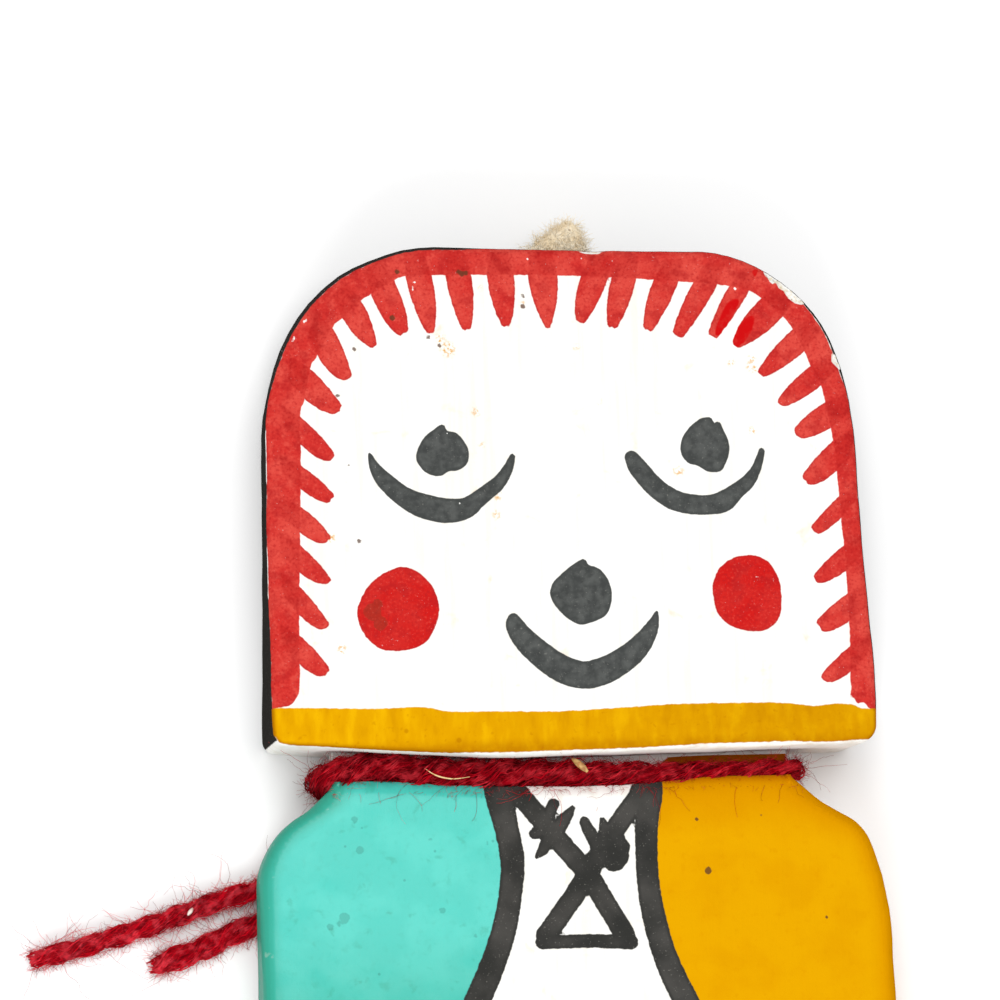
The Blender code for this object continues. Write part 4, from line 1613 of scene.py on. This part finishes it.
def lay_strands(name: str, strands: Iterable[Array], finer: int = 0) -> Piece:
    """Make one piece of many thin strands.

    Args:
        name: Name of the piece.
        strands: Points of each strand: x, y, z and radius, in millimetres.
        finer: Further sides of each strand past four, in pairs.

    Returns:
        The piece, as a mesh.
    """
    curve = bpy.data.curves.new(name, "CURVE")
    curve.dimensions = "3D"
    curve.bevel_depth = MM
    curve.bevel_resolution = finer
    curve.use_fill_caps = True
    for strand in strands:
        spline = curve.splines.new("POLY")
        spline.points.add(len(strand) - 1)
        places = np.ones((len(strand), 4))
        places[:, :3] = strand[:, :3] * MM
        spline.points.foreach_set("co", places.ravel())
        spline.points.foreach_set("radius", strand[:, 3])
    piece = bpy.data.objects.new(name, curve)
    bpy.context.scene.collection.objects.link(piece)
    take_up(piece)
    bpy.ops.object.convert(target="MESH")
    piece = bpy.context.object
    piece.name = name
    edit(piece)
    bpy.ops.mesh.select_all(action="SELECT")
    bpy.ops.mesh.remove_doubles(threshold=0.002 * MM)
    bpy.ops.object.mode_set(mode="OBJECT")
    bpy.ops.object.shade_smooth()
    return piece


@dataclass(frozen=True)
class LooseFibres:
    """One kind of fibre that stands off the yarn, and how many there are to the millimetre."""

    per_mm: float
    outwards: tuple[float, float]
    lengths: tuple[float, float]
    radius: float


@dataclass(frozen=True)
class SpunWool:
    """How the wool is spun: soft plies, each a loose bundle of strands, under a haze of fibres."""

    radius: float
    plies: int = 2
    ply_pitch: float = 7.6
    ply_offset: float = 0.27
    ply_size: float = 0.68
    core_step: float = 0.5
    strand_step: float = 0.75
    strand_pitch: float = 20.0
    strand_lengths: tuple[float, float] = (4.0, 12.0)
    strands_per_mm: float = 15.0
    strand_radius: float = 0.068
    crimp_lengths: tuple[float, float] = (2.0, 3.6)
    crimp: float = 0.08
    haze: LooseFibres = LooseFibres(90.0, (0.0, 0.55), (0.7, 2.5), 0.016)
    hairs: LooseFibres = LooseFibres(4.5, (0.2, 1.0), (2.2, 8.0), 0.02)
    thin_end: float = 1.0
    tucked: float = 0.0

    def swell(self, centre: Array) -> Array:
        """Work out the yarn's thickness, as it thins to the right and is flat at the back."""
        thinning = 1.0 + (self.thin_end - 1.0) * ease(centre[:, 0], -14.0, 26.0)
        return thinning * (1.0 - self.tucked * ease(centre[:, 2], 6.0, 3.0))

    def core(self, line: YarnLine) -> list[Array]:
        """Lay the solid heart of each ply.

        Args:
            line: The yarn's middle line.

        Returns:
            One strand for each ply.
        """
        along = np.linspace(0.0, line.length, max(8, round(line.length / self.core_step)))
        swell = self.swell(line.read(along)[0])
        middle = np.zeros_like(along)
        strands = []
        for ply in range(self.plies):
            places = self.in_ply(line, along, ply, middle, middle)
            fat = self.radius * self.ply_size * (0.78 + 0.06 * np.sin(along * 1.7 + ply)) * swell
            if not line.closed:
                fat *= ease(along, -0.6, 0.8) * ease(line.length - along, -0.3, 1.3)
            strands.append(np.column_stack([places, fat]))
        return strands

    def in_ply(self, line: YarnLine, along: Array, ply: int, out: Array, turn: Array) -> Array:
        """Find places in one ply of the yarn.

        Args:
            line: The yarn's middle line.
            along: Distances along the yarn.
            ply: Number of the ply.
            out: Distances from the ply's own middle.
            turn: Angles round it, in radians.

        Returns:
            The places.
        """
        centre, _, side, up = line.read(along)
        turns = max(1, round(line.length / self.ply_pitch)) / line.length
        angle = -2.0 * math.pi * (along * turns + ply / self.plies)
        reach = self.radius * self.ply_offset
        swell = self.swell(centre)
        x = (reach * np.cos(angle) + out * np.cos(turn)) * swell
        y = (reach * np.sin(angle) + out * np.sin(turn)) * swell
        return centre + side * x[:, None] + up * y[:, None]

    def strands(self, line: YarnLine, seed: int) -> list[Array]:
        """Lay the loose, crimped strands of every ply.

        Args:
            line: The yarn's middle line.
            seed: Start of the random numbers.

        Returns:
            The strands.
        """
        draw = np.random.default_rng(seed)
        strands = []
        for _ in range(round(line.length * self.strands_per_mm)):
            length = draw.uniform(*self.strand_lengths)
            first = draw.uniform(-length * 0.7, line.length - length * 0.3)
            start, end = first, first + length
            if not line.closed:
                start = max(start, draw.uniform(0.0, 0.5))
                end = min(end, line.length + draw.uniform(-0.9, 0.5))
            along = np.linspace(start, end, max(5, round((end - start) / self.strand_step)))
            share = np.clip((along - first) / length, 0.0, 1.0)
            swing = draw.uniform(0.0, 2.0 * math.pi)
            crimp = 2.0 * math.pi * along / draw.uniform(*self.crimp_lengths) + swing * 3.0
            turn = swing - 2.0 * math.pi * along / (self.strand_pitch * draw.uniform(0.7, 1.4))
            clump = 0.1 * np.sin(3.0 * swing + along * 0.9) + 0.08 * np.sin(2.0 * swing - along * 1.3)
            loose = draw.uniform(0.76, 1.04) + clump + self.crimp * np.sin(crimp)
            out = self.radius * self.ply_size * loose
            turn = turn + 0.2 * np.cos(crimp)
            if not line.closed:
                cap = np.clip((line.length - along) / 1.4, 0.04, 1.0)
                out = out * np.sqrt(1.0 - (1.0 - cap) ** 2)
            places = self.in_ply(line, along, int(draw.integers(self.plies)), out, turn)
            if not line.closed:
                places += line.ahead[-1] * np.maximum(along - line.length, 0.0)[:, None]
            taper = np.minimum(1.0, 0.25 + 3.5 * np.minimum(share, 1.0 - share))
            fat = self.strand_radius * draw.uniform(0.45, 1.25) * taper
            strands.append(np.column_stack([places, fat]))
        return strands

    def fuzz(self, line: YarnLine, seed: int) -> list[Array]:
        """Let a haze of short fibres and a few long hairs stand off the yarn.

        Args:
            line: The yarn's middle line.
            seed: Start of the random numbers.

        Returns:
            The fibres.
        """
        draw = np.random.default_rng(seed)
        fibres = []
        for kind in (self.haze, self.hairs):
            for _ in range(round(line.length * kind.per_mm)):
                along = np.array([draw.uniform(0.0, line.length)])
                centre, ahead, side, up = (row[0] for row in line.read(along))
                angle = draw.uniform(0.0, 2.0 * math.pi)
                outward = side * math.cos(angle) + up * math.sin(angle)
                around = up * math.cos(angle) - side * math.sin(angle)
                heading = outward * draw.uniform(*kind.outwards) + around * draw.normal() * 0.45
                heading = heading + ahead * draw.choice((-1.0, 1.0)) * draw.uniform(0.5, 1.5)
                surface = self.radius * self.swell(centre[None])[0]
                start = centre + outward * surface * draw.uniform(0.75, 0.96)
                fibres.append(curl(draw, start, heading, draw.uniform(*kind.lengths), kind.radius))
        return fibres


def curl(draw: np.random.Generator, start: Array, heading: Array, length: float, radius: float) -> Array:
    """Grow one curling, crimped fibre that stays above the floor.

    Args:
        draw: Source of random numbers.
        start: Where it starts.
        heading: Direction it starts in.
        length: Its length.
        radius: Its radius at the start.

    Returns:
        Its points: x, y, z and radius.
    """
    steps = max(3, min(10, round(length / 0.6)))
    heading = heading / np.linalg.norm(heading)
    axes = draw.normal(size=(2, 3))
    axes /= np.linalg.norm(axes, axis=1)[:, None]
    bend = draw.uniform(0.3, 3.6) / steps
    crimp = draw.uniform(0.3, 1.0)
    beat = draw.uniform(1.3, 2.8)
    place = np.array(start, dtype=float)
    rows = []
    for step in range(steps):
        rows.append((*place, radius * (1.0 - 0.5 * step / steps)))
        swing = np.cross(axes[0], heading) * bend
        swing = swing + np.cross(axes[1], heading) * crimp * math.sin(step * beat)
        heading = heading + swing + draw.normal(size=3) * 0.05
        heading /= np.linalg.norm(heading)
        place = place + heading * length / steps
        place[2] = max(place[2], radius * 1.2)
    return np.array(rows)


@dataclass(frozen=True)
class WoolFinish:
    """Deep red wool, paler where the light catches a strand and darker between them."""

    name: str = "red_wool"
    deep: Colour = screen(104, 0, 10)
    middle: Colour = screen(220, 12, 34)
    bright: Colour = screen(248, 76, 90)

    def material(self) -> Material:
        """Dye the wool.

        Returns:
            The material.
        """
        sheet = NodeSheet(self.name, roughness=0.85, shine=0.05)
        colour = sheet.veiled(
            self.deep,
            Veil(self.middle, sheet.strand(), 0.0, 1.0),
            Veil(self.bright, sheet.noise(0.8, 4.0), 0.45, 0.66, 0.6),
        )
        return sheet.dress(colour, sheet.noise(7.0, 3.0), 0.08)


@dataclass(frozen=True)
class YarnTail:
    """One free end of the yarn, lying out past the body's left side. Sizes are millimetres."""

    name: str
    node: str
    route: Knots
    diameter: float
    seed: int

    def build(self, wool: Material) -> None:
        """Args:
            wool: Material of the wool.
        """
        line = YarnLine(self.route, False)
        spun = SpunWool(self.diameter / 2)
        tail = lay_strands(self.name, spun.core(line) + spun.strands(line, self.seed))
        fuzz = lay_strands(f"{self.name}_fuzz", spun.fuzz(line, self.seed + 1))
        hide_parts(self.node)
        for piece in (tail, fuzz):
            finish_piece(piece, wool)
        LOG.info("%s is %.1f mm long", self.name, line.length)


TAILS = (
    YarnTail(
        "long_tail",
        "yarn_tail_long",
        (
            (0.8, 21.2, 1.4), (-16.0, 16.9, 1.35), (-36.3, 12.3, 1.35),
            (-45.3, 9.5, 1.35), (-53.6, 6.9, 1.35), (-62.3, 4.75, 1.35),
        ),
        2.5,
        11,
    ),
    YarnTail(
        "short_tail",
        "yarn_tail_short",
        ((1.9, 18.3, 1.6), (-16.0, 13.5, 1.55), (-36.4, 8.1, 1.55), (-43.0, 5.5, 1.55), (-48.5, 3.7, 1.55)),
        2.9,
        21,
    ),
)


@dataclass(frozen=True)
class NeckYarn:
    """The wool yarn tied round the neck, with its knot at the back. Sizes are millimetres."""

    radius: float = 2.1
    thin_end: float = 0.6
    tucked: float = 0.27
    front: float = 10.2
    back: float = 1.75
    knot_centre: tuple[float, float, float] = (4.3, 22.2, 1.9)
    knot_radii: tuple[float, float, float] = (2.3, 2.4, 0.7)
    knot_yarn: float = 0.95
    body_edge: float = 22.6
    body_front: float = 12.12
    body_side: float = 28.0
    knot_steps: int = 36
    steps_a_turn: int = 12

    def route(self) -> Knots:
        """Give the places that the ring goes through, from the left of the front.

        Returns:
            The places.
        """
        front, back = self.front, self.back
        return (
            (-22.9, 25.6, front), (-18.8, 25.1, front), (-14.2, 24.7, front), (-2.6, 24.4, front),
            (8.0, 24.2, front), (18.0, 24.3, front), (23.2, 24.5, front), (25.9, 24.5, 9.4),
            (26.6, 24.6, 7.0), (26.6, 24.7, 4.0), (25.4, 24.8, 2.2), (22.0, 24.8, back), (10.0, 24.6, back),
            (-6.0, 24.5, back), (-20.0, 24.4, back), (-25.6, 24.2, back), (-28.0, 24.1, 2.4),
            (-28.6, 24.1, 4.6), (-28.6, 24.2, 7.2), (-28.0, 24.4, 9.4), (-26.3, 25.2, front),
        )

    def over_body(self, fibre: Array) -> Array:
        """Lift a fibre that would run into the body's front, so that it lies on it.

        Args:
            fibre: Points of the fibre: x, y, z and radius.

        Returns:
            The same points, lifted where they have to be.
        """
        lifted = fibre.copy()
        x, y, z, radius = fibre.T
        over = (y < self.body_edge) & (z > self.front - self.radius) & (np.abs(x) < self.body_side)
        lifted[over, 2] = np.maximum(z[over], self.body_front + radius[over])
        return lifted

    def knot_route(self) -> Knots:
        """Wind the knot: three turns across one another round its middle.

        Returns:
            The places that its yarn goes through.
        """
        wide, tall, high = self.knot_radii
        places = []
        for step in range(self.knot_steps):
            turn = 2.0 * math.pi * step / self.steps_a_turn
            tilt = math.pi / 3.0 * (step // self.steps_a_turn) + turn / self.knot_steps
            x = wide * math.cos(turn)
            y = tall * math.sin(turn)
            across = x * math.cos(tilt) - y * math.sin(tilt) * 0.5
            along = x * math.sin(tilt) * 0.5 + y * math.cos(tilt) * 0.8
            way = (across, along, high * math.sin(turn + tilt * 2.0))
            places.append(tuple(a + b for a, b in zip(self.knot_centre, way)))
        return places

    def build(self, wool: Material) -> None:
        """Spin the ring, its fuzz and its knot.

        Args:
            wool: Material of the wool.
        """
        line = YarnLine(self.route(), True)
        spun = SpunWool(
            self.radius,
            strands_per_mm=12.0,
            haze=replace(SpunWool.haze, per_mm=53.0),
            hairs=replace(SpunWool.hairs, per_mm=3.0),
            thin_end=self.thin_end,
            tucked=self.tucked,
        )
        ring = lay_strands("neck_yarn_wool", spun.core(line) + spun.strands(line, 31))
        fuzz = lay_strands("neck_yarn_fuzz", [self.over_body(fibre) for fibre in spun.fuzz(line, 32)])
        knot_line = YarnLine(self.knot_route(), True)
        knot_wool = SpunWool(self.knot_yarn, strands_per_mm=5.0)
        knot = lay_strands("neck_knot", knot_wool.core(knot_line) + knot_wool.strands(knot_line, 33))
        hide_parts("neck_yarn")
        for piece in (ring, fuzz, knot):
            finish_piece(piece, wool)


@dataclass(frozen=True)
class CottonTuft:
    """The stub of raw cotton in the head's top edge. Sizes are millimetres."""

    centre: Place = (0.1, 85.9, 8.7)
    radii: Place = (3.5, 3.8, 2.6)
    lean: float = 0.4
    taper: float = 0.5
    fibres: int = 3000
    fibre_radius: float = 0.024
    fibre_length: tuple[float, float] = (0.9, 3.0)
    white: Colour = screen(252, 244, 226)
    cream: Colour = screen(240, 224, 196)
    tan: Colour = screen(226, 204, 164)
    speck: Colour = screen(120, 84, 50)

    def build(self) -> None:
        """Pack the stub and let its fibres stand off it."""
        deselect_all()
        middle = Vector(self.centre) * MM
        bpy.ops.mesh.primitive_uv_sphere_add(segments=48, ring_count=32, radius=MM, location=middle)
        core = bpy.context.object
        core.name = "tuft_cotton"
        core.scale = self.radii
        take_up(core)
        bpy.ops.object.transform_apply(location=True, rotation=True, scale=True)
        ruffle(core, "clumps", 1.8, 1.0, 2)
        ruffle(core, "wisps", 0.6, 0.35, 2)
        for point in core.data.vertices:
            point.co.x = self.shifted(point.co.x / MM, point.co.y / MM) * MM
        bpy.ops.object.shade_smooth()
        wisps = lay_strands("tuft_fibres", self.wisps())
        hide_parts("cotton_tuft")
        finish = self.finish()
        for piece in (core, wisps):
            finish_piece(piece, finish)

    def wisps(self) -> list[Array]:
        """Let loose fibres start all over the stub, but for its foot.

        Returns:
            The fibres.
        """
        draw = np.random.default_rng(41)
        fibres = []
        for _ in range(self.fibres):
            outward = draw.normal(size=3)
            outward /= np.linalg.norm(outward)
            outward[1] = abs(outward[1]) * 1.15 - 0.3
            start = np.array(self.centre) + outward * np.array(self.radii) * draw.uniform(0.92, 1.1)
            start[0] = self.shifted(start[0], start[1])
            around = np.cross(outward, draw.normal(size=3))
            heading = outward * draw.uniform(-0.15, 0.4) + around
            radius = self.fibre_radius * draw.uniform(0.6, 1.5)
            fibres.append(curl(draw, start, heading, draw.uniform(*self.fibre_length), radius))
        return fibres

    def shifted(self, across: float, up: float) -> float:
        """Narrow the stub towards its top and let it lean to the right.

        Args:
            across: Place across the doll, in millimetres.
            up: Place along the doll, in millimetres.

        Returns:
            Its new place across the doll, in millimetres.
        """
        rise = up - self.centre[1]
        narrowing = 1.0 - self.taper * max(0.0, rise / self.radii[1])
        return self.centre[0] + (across - self.centre[0]) * narrowing + self.lean * rise

    def finish(self) -> Material:
        """Colour the raw cotton: cream, with browner fibres and dark specks.

        Returns:
            The material.
        """
        sheet = NodeSheet("cream_cotton", roughness=0.9, shine=0.1)
        colour = sheet.veiled(
            self.white,
            Veil(self.cream, sheet.noise(0.5, 3.0), 0.35, 0.65),
            Veil(self.tan, sheet.strand(), 0.5, 1.0, 0.5),
        )
        colour = sheet.blend(sheet.times(sheet.dots(0.9, 0.2, 0.12, 2.0), 0.7), colour, self.speck)
        return sheet.dress(colour, sheet.noise(4.0, 4.0), 0.15)


@dataclass(frozen=True)
class PlantScrap:
    """A scrap of straw or plant that is caught in the wool. Sizes are millimetres."""

    name: str
    knots: Knots
    radius: float
    light: Colour
    dark: Colour

    def build(self) -> None:
        """Lay the scrap on the yarn and colour it."""
        sheet = NodeSheet(self.name, roughness=0.6)
        colour = sheet.veiled(self.light, Veil(self.dark, sheet.noise(1.5, 2.0), 0.3, 0.7))
        line = smooth_points(self.knots, False, 5)
        share = np.linspace(0.0, 1.0, len(line))
        fat = self.radius * (0.3 + 0.7 * np.sin(math.pi * np.clip(share, 0.05, 0.95)))
        piece = lay_strands(self.name, [np.column_stack([line, fat])], 1)
        finish_piece(piece, sheet.dress(colour, sheet.noise(6.0, 2.0), 0.03))


SCRAPS = (
    PlantScrap(
        "straw_fibre",
        (
            (-17.4, 25.3, 12.1), (-16.4, 24.6, 12.2), (-15.4, 24.2, 12.25),
            (-14.0, 24.0, 12.2), (-12.2, 24.2, 12.1),
        ),
        0.09,
        screen(236, 206, 150),
        screen(196, 150, 90),
    ),
    PlantScrap(
        "plant_fleck",
        ((-0.2, 26.1, 11.5), (0.3, 25.6, 12.0), (0.9, 25.0, 12.3), (1.4, 24.5, 12.3)),
        0.4,
        screen(214, 176, 110),
        screen(150, 100, 50),
    ),
    PlantScrap(
        "pale_fleck",
        ((-44.3, 9.5, 2.75), (-44.0, 9.9, 2.85), (-43.7, 10.3, 2.75)),
        0.24,
        screen(240, 226, 214),
        screen(220, 190, 180),
    ),
)


# Studio


@dataclass(frozen=True)
class Studio:
    """Camera, pale floor and soft light. Lengths are millimetres."""

    aim: Place = (-8.18, 55.75, 15.0)
    stand: Place = (-59.83, -2.84, 435.0)
    top: Place = (0.0279, 0.9996, 0.0)
    lens: float = 133.73
    sensor: float = 36.0
    key_place: Place = (10.0, 190.0, 640.0)
    key_size: float = 460.0
    key_power: float = 2.85
    fill_place: Place = (-160.0, -480.0, 420.0)
    fill_size: float = 400.0
    fill_power: float = 2.5
    sky: Colour = (1.0, 1.0, 1.0)
    sky_strength: float = 0.56
    floor_size: float = 3000.0
    floor_grey: Colour = (0.9, 0.9, 0.9)

    def set_up(self) -> None:
        """Place the camera, the lights and the floor."""
        self.place_camera()
        self.place_lights()
        self.lay_floor()

    def place_camera(self) -> None:
        """Stand the camera over the doll, a little to the left of it and below its head."""
        camera = bpy.data.objects.new("camera", bpy.data.cameras.new("camera"))
        camera.data.lens = self.lens
        camera.data.sensor_width = self.sensor
        camera.data.clip_start = 10.0 * MM
        bpy.context.scene.collection.objects.link(camera)
        back = (Vector(self.stand) - Vector(self.aim)).normalized()
        right = Vector(self.top).cross(back).normalized()
        turn = Matrix((right, back.cross(right), back)).transposed().to_4x4()
        camera.matrix_world = Matrix.Translation(Vector(self.stand) * MM) @ turn
        bpy.context.scene.camera = camera

    def place_lights(self) -> None:
        """Hang a large soft lamp overhead and a weaker one low in front, in an evenly lit white room."""
        lamps = (
            ("soft_lamp", self.key_place, self.key_size, self.key_power),
            ("fill_lamp", self.fill_place, self.fill_size, self.fill_power),
        )
        for name, place, size, power in lamps:
            lamp = bpy.data.lights.new(name, "AREA")
            lamp.shape = "DISK"
            lamp.size = size * MM
            lamp.energy = power
            holder = bpy.data.objects.new(name, lamp)
            holder.location = Vector(place) * MM
            holder.rotation_euler = (Vector(place) - Vector(self.aim)).to_track_quat("Z", "Y").to_euler()
            bpy.context.scene.collection.objects.link(holder)
        world = bpy.data.worlds.new("white_room")
        world.use_nodes = True
        light = world.node_tree.nodes["Background"]
        light.inputs["Color"].default_value = (*self.sky, 1.0)
        light.inputs["Strength"].default_value = self.sky_strength
        bpy.context.scene.world = world
        bpy.context.scene.view_settings.view_transform = "Standard"

    def lay_floor(self) -> None:
        """Lay the pale floor that the doll lies on."""
        deselect_all()
        bpy.ops.mesh.primitive_plane_add(size=self.floor_size * MM)
        floor = bpy.context.object
        floor.name = "pale_floor"
        sheet = NodeSheet("pale_floor", roughness=0.9, shine=0.0)
        sheet.feed(sheet.shader.inputs["Base Color"], self.floor_grey)
        floor.data.materials.append(sheet.material)


def main() -> None:
    """Build the doll and its yarn in front of the camera."""
    logging.basicConfig(level=logging.INFO, format="%(message)s")
    Studio().set_up()
    wool = WoolFinish().material()
    # The neck ring is the same wool in darker colours: painted shade of the groove it lies in
    neck_dye_and_painted_light = WoolFinish("shaded_red_wool", screen(88, 0, 8), screen(176, 2, 22), screen(220, 52, 64))
    shaded_neck_wool = neck_dye_and_painted_light.material()
    for tail in TAILS:
        tail.build(wool)
    CarvedDoll().build()
    NeckYarn().build(shaded_neck_wool)
    CottonTuft().build()
    for scrap in SCRAPS:
        scrap.build()
    deselect_all()


if __name__ == "__main__":
    main()
